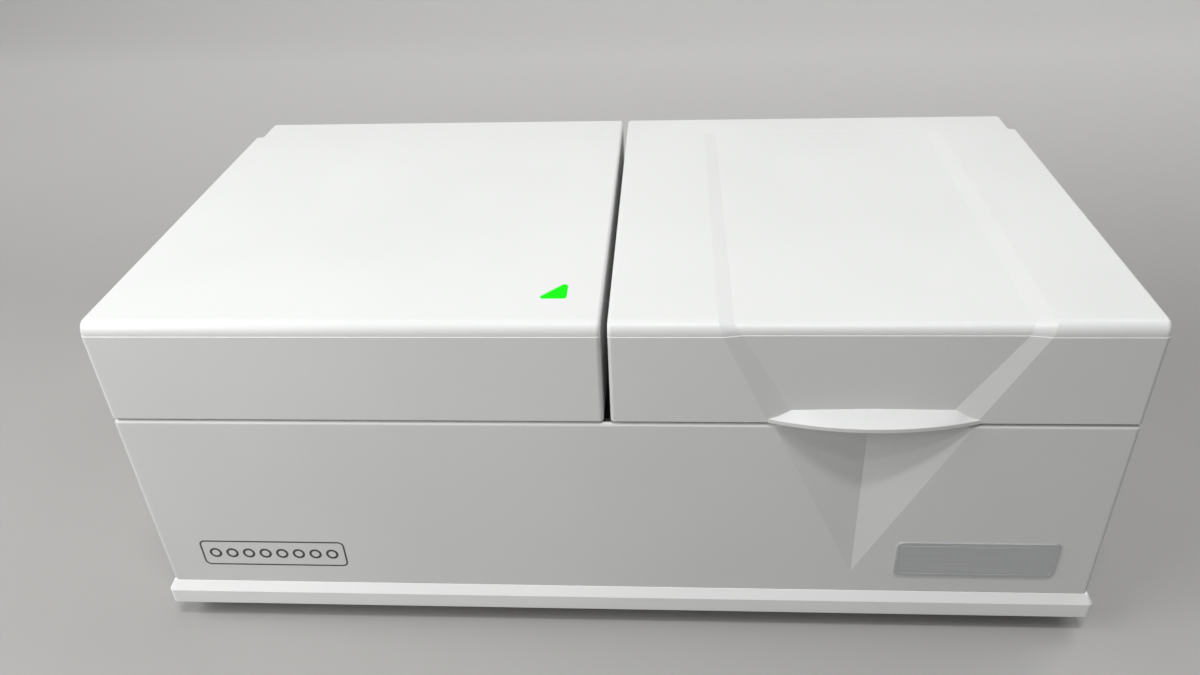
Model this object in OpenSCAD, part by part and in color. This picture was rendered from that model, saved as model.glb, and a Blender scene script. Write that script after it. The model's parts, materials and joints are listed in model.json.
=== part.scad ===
// Benchtop absorbance microplate reader: two hinged lids over a belt-driven plate carrier
// and a filter-wheel optical path.
// Modules draw in the case frame: x from the middle of the width, y back from the lids' front
// face, z up from the underside of the base tray. place() moves that to the part's own frame,
// whose origin is under the middle of the object, on the surface it stands on.

/* [Case] */
// Width across the side walls
case_w = 330; // [328:1:334]
// Depth from the front face to the back face
case_d = 171.3; // [171:0.1:174]
// Wall thickness of the moulded shells
wall = 2.5; // [2:0.1:2.5]
// Top edge of the lower housing
housing_top = 84.3; // [83.5:0.1:85]
// Bottom edge of the lower housing, where the tray's flare ends
flare_top = 9.84; // [8:0.1:11]
// How far the base tray stands out all round
flare = 2.15; // [1:0.05:3]
// Height of the rubber feet
foot_h = 8; // [6:0.5:10]

/* [Lids] */
// Open line between the lids and the lower housing
seam = 0.8; // [0.7:0.1:1]
// Height of each lid
lid_h = 36.5; // [36:0.1:38]
// Middle of the gap between the two lids
gap_x = -1.4; // [-1.6:0.1:-1.2]
// Width of that gap
gap_w = 2.2; // [2.2:0.1:2.6]
// Rounding of the front top edge
nose_r = 4.5; // [2:0.5:6]
// Width of the rear corner notch that clears the hinge lug
notch = 2.75; // [2.75:0.05:3]
// Length of that notch
notch_l = 15.3; // [15:0.1:16]
// Middle of the plate lid's sunken panel, the handle and the finger scoop
panel_x = 82.4; // [80:0.1:84]
// Width of the handle lip
handle_w = 65.7; // [60:0.1:70]
// How far the handle lip stands out
handle_out = 5; // [4:0.1:6]
// Height of that lip where it leaves the front face
handle_h = 4.7; // [4.5:0.1:6]

/* [Hinge] */
// Hinge axis, back from the front face
hinge_y = 166.4; // [166.2:0.1:166.6]
// Hinge axis, up from the tray
hinge_z = 89.9; // [89.7:0.1:90.1]
// Diameter of the hinge shaft
hinge_d = 4; // [3.8:0.1:4]

/* [Plate drive] */
// Plate carrier's travel from loading to the last well column
travel = 152; // [140:1:152]
// Middle of the plate in depth
plate_y = 62; // [61.5:0.1:62.5]
// Length of a standard microplate's footprint
plate_l = 127.76; // [127.76:0.01:128]
// Width of that footprint
plate_w = 85.48; // [85.48:0.01:86]
// Diameter of the two guide rods
rod_d = 6; // [5:0.5:6]
// Pitch radius of the belt pulleys
pulley_r = 5.2; // [5.2:0.05:5.3]

/* [Optics] */
// Where the eight light paths cross the plate
read_x = -20; // [-21:0.5:-19]
// Spacing of the wells
well_pitch = 9; // [9:0.01:9.01]
// Radius of the filter wheel
wheel_r = 19; // [18:0.1:19.2]
// Number of filters in the wheel
filter_count = 8; // [6:1:8]

/* [Hidden] */
$fn = 48;
half_w = case_w / 2;
front_y = -(case_d + flare - handle_out) / 2;
fit = 0.05;
eps = 0.01;
lid_z = housing_top + seam;
lid_top = lid_z + lid_h;
left_lid_edge = gap_x - gap_w / 2;
right_lid_edge = gap_x + gap_w / 2;
corner_r = 1.8;
edge_chamfer = 1;
tray_bevel = 3.34;
tray_lip = wall + 0.3;
tray_rim = 14;
screw_d = 4;
screw_clear = screw_d + 0.1;
lug_r = 9.5;
knuckle_l = 12;
rear_cut = 2.5;
panel_sunk = 1;
panel_fade = 0.1;
panel_rear = case_d - 16.8;
service_ends = [-half_w + notch, left_lid_edge];
plate_ends = [right_lid_edge, half_w - notch];
boss_d = 8.4;
bush_d = 5.6;
floor_top = 2.5;
carrier_l = 140;
carrier_d = 98;
carrier_z = 74;
deck_z = 58;
deck_top = 60;
deck_split = 134;
rod_z = 68;
rod_x = [panel_x - travel - carrier_l / 2 - 19.9, half_w - 5.5];
support_l = 6;
rod_gap = 88;
rod_y = [plate_y - rod_gap / 2, plate_y + rod_gap / 2];
nest_z = 77;
nest_h = 3.6;
nest_wall = 3;
nest_play = 0.3;
belt_y0 = 114.5;
belt_y1 = 120.5;
belt_z = 74.5;
belt_in = pulley_r - 0.3;
belt_out = pulley_r + 0.7;
motor_x = -143;
motor_side = 28;
motor_y = 123.5;
idler_x = 150;
wheel_x = -77;
wheel_t = 4;
wheel_y = 141.5;
wheel_z = 82;
filter_d = 7;
filter_pitch_r = 14.5;
beam_z = wheel_z + filter_pitch_r;
lamp_x = [-118, -86];
bridge_z = [97, 112];
panel_y = [167.3, 168.8];
panel_z = [18, 76];
window_half = 146;
inlet_x = -120;
inlet_z = 40;
inlet_size = [27, 33];
inlet_flange = [31, 36];
flange_t = 2;
switch_x = -76;
switch_z = 40;
switch_size = [19.2, 28.2];
switch_flange = [21, 30];
rocker_y = 164;
rocker_pin_d = 3;
usb_x = 10;
usb_z = 40;
usb_size = [12, 11];
cutout_play = 0.2;
fan_x = 92;
fan_z = 44;
fan_d = 37;
fan_side = 40;
fan_y0 = 155.3;
fan_axle_d = 3;
panel_screws = [for (x = [-140, 140], z = [panel_z[0] + 6, panel_z[1] - 6]) [x, z]];
scoop_x = 81.9;
scoop_half = 30.5;
scoop_low = 19;
scoop_deep = 4.9;
board = [-72, 96, 22, 132];
board_z = 10;
board_t = 1.6;
foot_x = 142;
foot_y = [18, 153];
pillar_at = [[-150, 28], [-150, 158.4], [150, 28], [128, 128]];
pillar_d = 9;
clamp_pin_d = 2.4;
clamp_x = panel_x - 67;
clamp_y = plate_y + 32;
wells = [for (i = [0 : 7]) plate_y + (i - 3.5) * well_pitch];

// ---- Helpers ----

module place() {
    translate([0, front_y, foot_h]) children();
}

// Box between two opposite corners
module block(a, b) {
    translate(a) cube(b - a);
}

module rod_along_x(x0, x1, y, z, d) {
    translate([x0, y, z]) rotate([0, 90, 0]) cylinder(d = d, h = x1 - x0);
}

module rod_along_y(x, y0, y1, z, d) {
    translate([x, y0, z]) rotate([-90, 0, 0]) cylinder(d = d, h = y1 - y0);
}

module rod_along_z(x, y, z0, z1, d) {
    translate([x, y, z0]) cylinder(d = d, h = z1 - z0);
}

// A side outline (y, z) drawn out along x
module along_x(x0, x1) {
    translate([x0, 0, 0]) rotate([90, 0, 90]) linear_extrude(x1 - x0) children();
}

// A front outline (x, z) drawn out along y
module along_y(y0, y1) {
    translate([0, y1, 0]) rotate([90, 0, 0]) linear_extrude(y1 - y0) children();
}

// Rectangle with round corners
module round_rect(x0, x1, y0, y1, r) {
    translate([x0 + r, y0]) square([x1 - x0 - 2 * r, y1 - y0]);
    translate([x0, y0 + r]) square([x1 - x0, y1 - y0 - 2 * r]);
    for (x = [x0 + r, x1 - r], y = [y0 + r, y1 - r])
        translate([x, y]) circle(r);
}

// Push point p away from c by factor k
function grow(p, c, k) = c + k * (p - c);

// V-shaped hollow: two flat facets that meet in a crease and deepen upward
module v_wedge(half, low, deep, top) {
    root = [scoop_x, 0, low];
    rise = 1.08;
    back = grow([scoop_x, deep, top], root, rise);
    left = grow([scoop_x - half, 0, top], root, rise);
    right = grow([scoop_x + half, 0, top], root, rise);
    pts = [back, for (p = [root, left, right]) grow(p, back, 1.3)];
    polyhedron(points = pts, faces = [[0, 2, 1], [0, 1, 3], [0, 3, 2], [1, 2, 3]]);
}

// ---- Case ----

module base_tray() {
    out = half_w + flare;
    y0 = -flare;
    y1 = case_d + flare;
    step = flare_top - tray_bevel;
    lip = tray_lip;
    color("gainsboro") difference() {
        union() {
            intersection() {
                along_x(-out, out) polygon([[y0, 0], [y1, 0], [y1, step],
                    [case_d, flare_top], [0, flare_top], [y0, step]]);
                along_y(y0, y1) polygon([[-out, 0], [out, 0], [out, step],
                    [half_w, flare_top], [-half_w, flare_top], [-out, step]]);
                linear_extrude(flare_top) round_rect(-out, out, y0, y1, corner_r);
            }
            linear_extrude(tray_rim)
                round_rect(-half_w + lip, half_w - lip, lip, case_d - lip, corner_r);
        }
        block([-half_w + lip + 2, lip + 2, floor_top],
            [half_w - lip - 2, case_d - lip - 2, tray_rim + 1]);
        // Air slots in the floor
        for (i = [0 : 7])
            block([60 + i * 8, 60, -1], [63 + i * 8, 100, floor_top + 1]);
        for (x = [-foot_x, foot_x], y = foot_y)
            rod_along_z(x, y, -1, floor_top + 1, screw_clear);
    }
    // Stand-offs for the main board
    color("gainsboro") for (x = [board[0] + 6, board[1] - 6], y = [board[2] + 6, board[3] - 6])
        rod_along_z(x, y, floor_top - eps, board_z, 6);
}

module feet() {
    color("dimgray") for (x = [-foot_x, foot_x], y = foot_y) difference() {
        translate([x, y, -foot_h]) cylinder(d1 = 15, d2 = 18, h = foot_h);
        rod_along_z(x, y, -foot_h - 1, -foot_h + 4, 9);
        rod_along_z(x, y, -foot_h, 1, screw_clear);
    }
}

module case_screws() {
    color("silver") {
        for (x = [-foot_x, foot_x], y = foot_y) {
            rod_along_z(x, y, -foot_h + 4, 6, screw_d);
            rod_along_z(x, y, -foot_h + 1.5, -foot_h + 4, 8);
            rod_along_z(x, y, floor_top, 5.5, 7);
        }
        for (p = panel_screws) {
            rod_along_y(p[0], panel_y[1], panel_y[1] + 1.8, p[1], 6);
            rod_along_y(p[0], panel_y[1] - 6, panel_y[1], p[1], 3);
        }
    }
}

module housing_outside() {
    cham = edge_chamfer;
    intersection() {
        along_x(-half_w, half_w) polygon([[0, flare_top], [case_d, flare_top],
            [case_d, housing_top - cham], [case_d - cham, housing_top], [cham, housing_top],
            [0, housing_top - cham]]);
        along_y(0, case_d) polygon([[-half_w, flare_top], [half_w, flare_top],
            [half_w, housing_top - cham], [half_w - cham, housing_top],
            [-half_w + cham, housing_top], [-half_w, housing_top - cham]]);
        linear_extrude(housing_top + 1) round_rect(-half_w, half_w, 0, case_d, corner_r);
    }
}

// Lug outline (y, z) that carries one end of the hinge shaft
module lug_outline() {
    intersection() {
        union() {
            translate([hinge_y, hinge_z]) circle(lug_r);
            translate([hinge_y - lug_r, housing_top - 6])
                square([2 * lug_r, hinge_z - housing_top + 6]);
        }
        translate([0, housing_top - 6]) square([case_d, 40]);
    }
}

module lower_housing() {
    color("whitesmoke") difference() {
        union() {
            difference() {
                housing_outside();
                linear_extrude(housing_top + 1)
                    round_rect(-half_w + wall, half_w - wall, wall, case_d - wall, corner_r);
            }
            // Back of the finger scoop
            intersection() {
                housing_outside();
                v_wedge(scoop_half + 6, scoop_low - 11, scoop_deep + wall, housing_top);
            }
            along_x(-half_w, -half_w + wall - 0.05) lug_outline();
            along_x(half_w - wall + 0.05, half_w) lug_outline();
        }
        v_wedge(scoop_half, scoop_low, scoop_deep, housing_top);
        block([-window_half, case_d - wall - 1, panel_z[0] + 2],
            [window_half, case_d + 1, panel_z[1] - 2]);
        rod_along_x(-half_w - 1, half_w + 1, hinge_y, hinge_z, hinge_d + 2 * fit);
    }
}

module light_seal() {
    z0 = housing_top;
    z1 = housing_top + 0.5;
    in = half_w - wall + 0.2;
    out = half_w - 1.2;
    rear = 148;
    color("black") {
        block([-out, 1.2, z0], [-in, rear, z1]);
        block([in, 1.2, z0], [out, rear, z1]);
        block([-in, 1.2, z0], [scoop_x - scoop_half - 2, wall - 0.1, z1]);
        block([scoop_x + scoop_half + 2, 1.2, z0], [in, wall - 0.1, z1]);
    }
}

module hinge_shaft() {
    color("silver") rod_along_x(-half_w + 0.3, half_w - 0.3, hinge_y, hinge_z, hinge_d);
}

module hinge_bracket() {
    color("silver") difference() {
        union() {
            along_x(gap_x - 0.75, gap_x + 0.75) {
                translate([hinge_y, hinge_z]) circle(4.4);
                translate([148, deck_top]) square([18.8, 22]);
                translate([hinge_y - 4.4, deck_top + 10]) square([4.8, hinge_z - deck_top - 10]);
            }
            block([gap_x - 12, 148, deck_top], [gap_x + 0.75, 160, deck_top + 1.5]);
        }
        rod_along_x(gap_x - 2, gap_x + 2, hinge_y, hinge_z, hinge_d + 2 * fit);
    }
}

// ---- Rear panel and its fittings ----

// Centred rectangle (x, z) with play added to both sides
module opening(x, z, size, play) {
    translate([x, z]) square([size[0] + play, size[1] + play], center = true);
}

// Flange round a fitting, on the outside of the panel
module flange(x, z, size, r) {
    along_y(panel_y[1], panel_y[1] + flange_t)
        round_rect(x - size[0] / 2, x + size[0] / 2, z - size[1] / 2, z + size[1] / 2, r);
}

module rear_panel() {
    color("silver") difference() {
        block([-half_w + 6, panel_y[0], panel_z[0] - 4], [half_w - 6, panel_y[1], panel_z[1] + 3]);
        along_y(panel_y[0] - 1, panel_y[1] + 1) {
            opening(inlet_x, inlet_z, inlet_size, cutout_play);
            opening(switch_x, switch_z, switch_size, cutout_play);
            opening(usb_x, usb_z, usb_size, 2 * cutout_play);
        }
        rod_along_y(fan_x, panel_y[0] - 1, panel_y[1] + 1, fan_z, fan_d);
        for (p = panel_screws)
            rod_along_y(p[0], panel_y[0] - 1, panel_y[1] + 1, p[1], 3.1);
    }
}

module power_inlet() {
    color("black") difference() {
        union() {
            flange(inlet_x, inlet_z, inlet_flange, 2);
            along_y(146, panel_y[1]) opening(inlet_x, inlet_z, inlet_size, 0);
        }
        // Socket for the lead, with its two cut corners
        along_y(154.8, panel_y[1] + 3) polygon([[inlet_x - 12, inlet_z - 2],
            [inlet_x + 12, inlet_z - 2], [inlet_x + 12, inlet_z + 10], [inlet_x + 7, inlet_z + 14.5],
            [inlet_x - 7, inlet_z + 14.5], [inlet_x - 12, inlet_z + 10]]);
        // Bay for the fuse drawer
        block([inlet_x - 11, 150, inlet_z - 14.5], [inlet_x + 11, panel_y[1] + 3, inlet_z - 5]);
        for (i = [-1 : 1])
            pin_blade(i, 140, 160);
    }
}

// Contact blade i of three, between two depths
module pin_blade(i, y0, y1) {
    x = inlet_x + i * 7;
    z = inlet_z + 7 - abs(i) * 3;
    block([x - 1, y0, z - 2], [x + 1, y1, z + 2]);
}

module inlet_pins() {
    color("goldenrod") for (i = [-1 : 1])
        pin_blade(i, 140, 168);
}

module fuse_drawer() {
    color("dimgray") difference() {
        block([inlet_x - 10.7, 150.3, inlet_z - 14.2],
            [inlet_x + 10.7, panel_y[1] + 1.9, inlet_z - 5.3]);
        // Tray for two fuses
        block([inlet_x - 9, 152, inlet_z - 12.5], [inlet_x + 9, 166, inlet_z - 5]);
        // Fingernail slot
        block([inlet_x - 5, 168.6, inlet_z - 11.5], [inlet_x + 5, 172, inlet_z - 10.5]);
    }
}

module switch_frame() {
    color("black") difference() {
        union() {
            flange(switch_x, switch_z, switch_flange, 1.5);
            along_y(154, panel_y[1]) opening(switch_x, switch_z, switch_size, 0);
        }
        along_y(156, panel_y[1] + 3) opening(switch_x, switch_z, [14, 25.4], 0);
        rod_along_x(switch_x - 9, switch_x + 9, rocker_y, switch_z, rocker_pin_d + 2 * fit);
    }
}

module switch_rocker() {
    // Rests in the off position: the lower half stands in and the upper half stands out
    color("dimgray") {
        along_x(switch_x - 6.6, switch_x + 6.6) translate([rocker_y, switch_z])
            polygon([[-3.5, -5], [3, -11], [4.6, -11], [4.9, 0], [6.9, 11], [5.2, 11], [-3.5, 5]]);
        rod_along_x(switch_x - 8.6, switch_x + 8.6, rocker_y, switch_z, rocker_pin_d);
    }
}

module usb_port() {
    shell = 0.6;
    color("silver") difference() {
        along_y(155, panel_y[1] + 0.8) opening(usb_x, usb_z, usb_size, 0);
        along_y(158, panel_y[1] + 3) opening(usb_x, usb_z, usb_size, -2 * shell);
    }
    color("white") block([usb_x - 3, 158 - eps, usb_z - 1.6], [usb_x + 3, 166, usb_z + 1.6]);
}

module fan_frame() {
    color("black") difference() {
        union() {
            difference() {
                along_y(fan_y0, panel_y[0]) round_rect(fan_x - fan_side / 2,
                    fan_x + fan_side / 2, fan_z - fan_side / 2, fan_z + fan_side / 2, 2);
                rod_along_y(fan_x, 154, 170, fan_z, fan_d + 0.4);
            }
            // Three struts hold the hub
            for (a = [90, 210, 330])
                translate([fan_x, 0, fan_z]) rotate([0, a, 0])
                    block([3, 165.6, -1], [19.2, panel_y[0], 1]);
            rod_along_y(fan_x, 165.6, panel_y[0], fan_z, 14);
            rod_along_y(fan_x, 158.6, 166, fan_z, fan_axle_d);
        }
        for (x = [-16, 16], z = [-16, 16])
            rod_along_y(fan_x + x, 150, 170, fan_z + z, 3.4);
    }
}

module fan_rotor() {
    blades = 7;
    color("dimgray") difference() {
        union() {
            rod_along_y(fan_x, 156.4, 165, fan_z, 15);
            for (i = [1 : blades])
                translate([fan_x, 160.6, fan_z]) rotate([0, i * 360 / blades, 0])
                    translate([6.5, 0, 0]) rotate([38, 0, 0])
                        translate([0, -0.5, -5]) cube([10.8, 1, 10]);
        }
        rod_along_y(fan_x, 158, 166, fan_z, fan_axle_d + 2 * fit);
    }
}

module fan_guard() {
    wire = 1.2;
    y = panel_y[1] + wire / 2;
    color("silver") {
        for (r = [6, 12, 18])
            translate([fan_x, y, fan_z]) rotate([90, 0, 0])
                rotate_extrude() translate([r, 0]) circle(d = wire, $fn = 16);
        for (a = [45, 135, 225, 315])
            translate([fan_x, y, fan_z]) rotate([0, a, 0]) rod_along_x(5.5, 23, 0, 0, wire);
    }
}

module badge() {
    color("silver") along_y(-0.6, 0) round_rect(96.4, 151, 18.4, 34, 2);
}

// ---- Lids ----

// Plan of a lid, inset from its outside; side is -1 for the left lid and 1 for the right
module lid_plan(inner_x, side, inset) {
    inner = inner_x + side * inset;
    outer = side * (half_w - inset);
    rear = side * (half_w - notch - inset);
    step_y = case_d - notch_l - inset;
    polygon([[inner, inset], [outer, inset], [outer, step_y], [rear, step_y],
        [rear, case_d - inset], [inner, case_d - inset]]);
}

// Side outline of a lid: round nose in front, cut-back lower rear edge for the hinge
module lid_side() {
    cut = rear_cut;
    translate([nose_r, lid_z]) square([case_d - nose_r - cut, lid_h]);
    translate([0, lid_z]) square([case_d - cut, lid_h - nose_r]);
    translate([nose_r, lid_top - nose_r]) circle(nose_r);
    polygon([[case_d - cut - 1, lid_z], [case_d - cut, lid_z], [case_d, lid_z + cut],
        [case_d, lid_top], [case_d - cut - 1, lid_top]]);
}

module lid_shell(inner_x, side) {
    intersection() {
        along_x(-half_w, half_w) lid_side();
        translate([0, 0, lid_z - 1]) linear_extrude(lid_h + 2) lid_plan(inner_x, side, 0);
    }
}

module lid_hollow(inner_x, side) {
    translate([0, 0, lid_z - 1]) linear_extrude(lid_h - wall + 1) lid_plan(inner_x, side, wall);
}

// Two hinge knuckles at the ends of a lid's rear edge
module knuckles(x0, x1) {
    long = knuckle_l;
    rod_along_x(x0, x0 + long, hinge_y, hinge_z, boss_d);
    rod_along_x(x1 - long, x1, hinge_y, hinge_z, boss_d);
    for (x = [x0, x1 - long])
        block([x, hinge_y, hinge_z + 1], [x + long, case_d - 1, hinge_z + boss_d / 2]);
}

module knuckle_bores(x0, x1) {
    rod_along_x(x0 - 1, x1 + 1, hinge_y, hinge_z, bush_d);
}

module bushes(x0, x1) {
    long = knuckle_l;
    color("goldenrod") for (x = [x0, x1 - long]) difference() {
        rod_along_x(x, x + long, hinge_y, hinge_z, bush_d);
        rod_along_x(x - 1, x + long + 1, hinge_y, hinge_z, hinge_d + 2 * fit);
    }
}

// Outline of the indicator light, a wedge with round corners
module wedge_outline(grow_by) {
    hull() for (p = [[-22.1, 16.8], [-15, 24.4], [-14.9, 16.8]])
        translate(p) circle(1 + grow_by, $fn = 32);
}

module service_lid() {
    color("whitesmoke") difference() {
        union() {
            difference() {
                lid_shell(left_lid_edge, -1);
                lid_hollow(left_lid_edge, -1);
            }
            knuckles(service_ends[0], service_ends[1]);
        }
        knuckle_bores(service_ends[0], service_ends[1]);
        translate([0, 0, lid_top - 10]) linear_extrude(20) wedge_outline(0.1);
    }
}

module service_lid_bushes() {
    bushes(service_ends[0], service_ends[1]);
}

module indicator_lens() {
    color("lime") translate([0, 0, lid_top - 4]) linear_extrude(4) wedge_outline(0);
}

module indicator_board() {
    z1 = lid_top - 6.4;
    color("green") block([-32, 8, z1 - board_t], [-11, 27, z1]);
    color("white") block([-20, 17, z1 - eps], [-15, 22, z1 + 1.6]);
    // Two posts hang the board from the lid
    color("white") for (y = [11, 24])
        rod_along_z(-28.5, y, z1 - eps, lid_top - wall, 3);
}

// Hollow over the panel on the plate lid's top, shallower toward the rear
module sunken_panel() {
    ends = [[-1, panel_sunk], [panel_rear, panel_fade]];
    pts = [for (end = ends)
        for (p = [[-49.2, eps], [-44.4, -end[1]], [43.9, -end[1]], [50.2, eps]])
            [panel_x + p[0], end[0], lid_top + p[1]]];
    polyhedron(points = pts, faces = [[0, 3, 2, 1], [4, 5, 6, 7], [0, 1, 5, 4], [1, 2, 6, 5],
        [2, 3, 7, 6], [3, 0, 4, 7]]);
}

module plate_lid() {
    sunk = panel_sunk;
    cone_r = (pow(handle_w / 2, 2) + pow(handle_out, 2)) / (2 * handle_out);
    color("whitesmoke") difference() {
        union() {
            difference() {
                lid_shell(right_lid_edge, 1);
                lid_hollow(right_lid_edge, 1);
                sunken_panel();
                // The panel runs down the front between two slanting bands
                along_y(-1, sunk) polygon([[panel_x - 46, lid_top + 1], [panel_x + 46, lid_top + 1],
                    [panel_x + 45, lid_top - 2.4], [panel_x + 29, lid_z - 1],
                    [panel_x - 29, lid_z - 1], [panel_x - 45, lid_top - 2.4]]);
            }
            knuckles(plate_ends[0], plate_ends[1]);
            // Handle lip
            intersection() {
                translate([panel_x, cone_r - handle_out, lid_z])
                    cylinder(r1 = cone_r, r2 = cone_r - handle_out, h = handle_h, $fn = 96);
                block([panel_x - handle_w / 2, -handle_out - 1, lid_z],
                    [panel_x + handle_w / 2, 2, lid_z + handle_h + 1]);
            }
        }
        knuckle_bores(plate_ends[0], plate_ends[1]);
    }
}

module plate_lid_bushes() {
    bushes(plate_ends[0], plate_ends[1]);
}

// ---- Deck and plate drive ----

module deck_plate() {
    edge = half_w - 5;
    color("silver") difference() {
        translate([0, 0, deck_z]) linear_extrude(deck_top - deck_z) polygon([[-edge, 4], [20, 4],
            [20, 12], [edge, 12], [edge, deck_split], [0, deck_split], [0, 162], [-edge, 162]]);
        // Slot for the detector's ribbon and openings over the power supply
        block([-48, 40, deck_z - 1], [-42, 84, deck_top + 1]);
        for (i = [0 : 5])
            block([-140 + i * 12, 40, deck_z - 1], [-134 + i * 12, 90, deck_top + 1]);
        for (p = pillar_at)
            rod_along_z(p[0], p[1], deck_z - 1, deck_top + 1, 3.4);
    }
}

module deck_pillars() {
    color("silver") for (p = pillar_at) {
        rod_along_z(p[0], p[1], floor_top, deck_z, pillar_d);
        rod_along_z(p[0], p[1], deck_z, deck_top, 3.2);
        rod_along_z(p[0], p[1], deck_top, deck_top + 2, 6);
    }
}

module guide_rods() {
    color("silver") for (y = rod_y)
        rod_along_x(rod_x[0], rod_x[1], y, rod_z, rod_d);
}

module rod_supports() {
    ends = [rod_x[0] - 0.5, rod_x[1] + 0.5 - support_l];
    color("dimgray") for (x = ends, y = rod_y) difference() {
        block([x, y - 6, deck_top], [x + support_l, y + 6, carrier_z - 0.6]);
        rod_along_x(x - 1, x + support_l + 1, y, rod_z, rod_d + 2 * fit);
    }
}

// Rectangle in x and y about the middle of the plate at its loading place
module about_plate(l, w, z0, z1) {
    block([panel_x - l / 2, plate_y - w / 2, z0], [panel_x + l / 2, plate_y + w / 2, z1]);
}

module plate_carrier() {
    in_l = plate_l + 2 * nest_play;
    in_w = plate_w + 2 * nest_play;
    color("dimgray") difference() {
        union() {
            about_plate(carrier_l, carrier_d, carrier_z, nest_z);
            about_plate(in_l + 2 * nest_wall, in_w + 2 * nest_wall, nest_z - eps, nest_z + nest_h);
        }
        about_plate(in_l, in_w, nest_z, nest_z + 10);
        about_plate(plate_l - 8, plate_w - 8, carrier_z - 1, nest_z + 1);
        // Finger gaps in the middle of each long side
        about_plate(44, carrier_d + 2, nest_z, nest_z + 10);
        // Room for the clamp lever
        block([clamp_x - 4, clamp_y - 36, nest_z], [clamp_x + 3, clamp_y + 5, nest_z + 10]);
        rod_along_z(clamp_x, clamp_y, carrier_z - 1, nest_z + 1, clamp_pin_d);
    }
}

module carrier_bearings() {
    color("white") for (x = [panel_x - 45, panel_x + 45], y = rod_y) difference() {
        block([x - 10, y - 6, 62], [x + 10, y + 6, carrier_z]);
        rod_along_x(x - 11, x + 11, y, rod_z, rod_d + 2 * fit);
    }
}

module clamp_lever() {
    z0 = nest_z + 0.4;
    z1 = nest_z + 3.4;
    color("silver") difference() {
        union() {
            rod_along_z(clamp_x, clamp_y, z0, z1, 5.4);
            block([clamp_x - 1.6, clamp_y - 31, z0], [clamp_x + 1.2, clamp_y, z1]);
            rod_along_z(clamp_x + 1, clamp_y - 30, z0, z1, 4);
        }
        rod_along_z(clamp_x, clamp_y, z0 - 1, z1 + 1, clamp_pin_d + 2 * fit);
    }
}

module clamp_pin() {
    color("silver") {
        rod_along_z(clamp_x, clamp_y, carrier_z, nest_z + 6, clamp_pin_d);
        rod_along_z(clamp_x, clamp_y, nest_z + 6, nest_z + 6.6, 4.4);
    }
}

// Torsion spring on the pin above the lever, as three touching turns
module clamp_spring() {
    wire = 0.6;
    color("gray") for (i = [0 : 2])
        translate([clamp_x, clamp_y, nest_z + 4 + i * wire])
            rotate_extrude() translate([clamp_pin_d / 2 + wire / 2 + 0.1, 0])
                square(wire - eps, center = true);
}

module belt_clamp() {
    x0 = panel_x - 10;
    x1 = panel_x + 10;
    run = belt_z - (belt_in + belt_out) / 2;
    color("dimgray") {
        block([x0, rod_y[1] + 6, 63], [x1, belt_y0 - 0.4, carrier_z]);
        block([x0, plate_y + carrier_d / 2 - 12, carrier_z - 2.4], [x1, rod_y[1] + 7, carrier_z]);
        block([x0, belt_y0 - 0.5, 63], [x1, belt_y1, run - 0.9]);
        block([x0, belt_y0 - 0.5, run + 0.9], [x1, belt_y1, run + 4.5]);
    }
}

// Stadium outline (x, z) round both pulleys
module loop_outline(r) {
    translate([motor_x, belt_z]) circle(r);
    translate([idler_x, belt_z]) circle(r);
    translate([motor_x, belt_z - r]) square([idler_x - motor_x, 2 * r]);
}

module drive_belt() {
    color("black") difference() {
        along_y(belt_y0, belt_y1) loop_outline(belt_out);
        along_y(belt_y0 - 1, belt_y1 + 1) loop_outline(belt_in);
    }
}

module pulley(x, bore) {
    body_d = 2 * (belt_in - fit);
    color("silver") difference() {
        union() {
            rod_along_y(x, belt_y0 - 0.2, belt_y1 + 0.2, belt_z, body_d);
            rod_along_y(x, belt_y0 - 1, belt_y0 - 0.2, belt_z, 12);
            rod_along_y(x, belt_y1 + 0.2, belt_y1 + 0.6, belt_z, 12);
        }
        rod_along_y(x, 100, 140, belt_z, bore);
    }
}

module motor_brackets() {
    half = motor_side / 2;
    y0 = belt_y1 + 1;
    color("silver") {
        // Drive motor
        difference() {
            union() {
                block([motor_x - half, y0, deck_top], [motor_x + half, y0 + 2, belt_z + half]);
                block([motor_x - half, y0 - 9, deck_top], [motor_x + half, y0 + 1, deck_top + 2]);
            }
            rod_along_y(motor_x, y0 - 1, y0 + 3, belt_z, 22.2);
        }
        // Idler
        difference() {
            union() {
                block([idler_x - 8, y0, deck_top], [idler_x + 8, y0 + 2.5, 80.4]);
                block([idler_x - 8, y0 + 1, deck_top], [idler_x + 8, y0 + 12, deck_top + 2]);
            }
            rod_along_y(idler_x, y0 - 1, y0 + 4, belt_z, 4);
        }
        // Filter wheel motor, with the hole for the beam
        difference() {
            union() {
                block([-70, 128, deck_top], [-68.5, 155, beam_z + 7]);
                block([-69, 128, deck_top], [-55, 155, deck_top + 1.5]);
            }
            rod_along_x(-71, -67, wheel_y, wheel_z, 6);
            rod_along_x(-71, -67, wheel_y, beam_z, 8.2);
        }
    }
}

module drive_motor() {
    half = motor_side / 2;
    cut = 3;
    color("dimgray") difference() {
        union() {
            along_y(motor_y, 155) translate([motor_x, belt_z]) polygon([[-half + cut, -half],
                [half - cut, -half], [half, -half + cut], [half, half - cut], [half - cut, half],
                [-half + cut, half], [-half, half - cut], [-half, -half + cut]]);
            rod_along_y(motor_x, motor_y - 2, motor_y + 1, belt_z, 22);
        }
        rod_along_y(motor_x, motor_y - 3, 150, belt_z, 5 + 2 * fit);
    }
}

module motor_shaft() {
    color("silver") rod_along_y(motor_x, belt_y0 - 1.5, 149, belt_z, 5);
}

module motor_pulley() {
    pulley(motor_x, 5);
}

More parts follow.
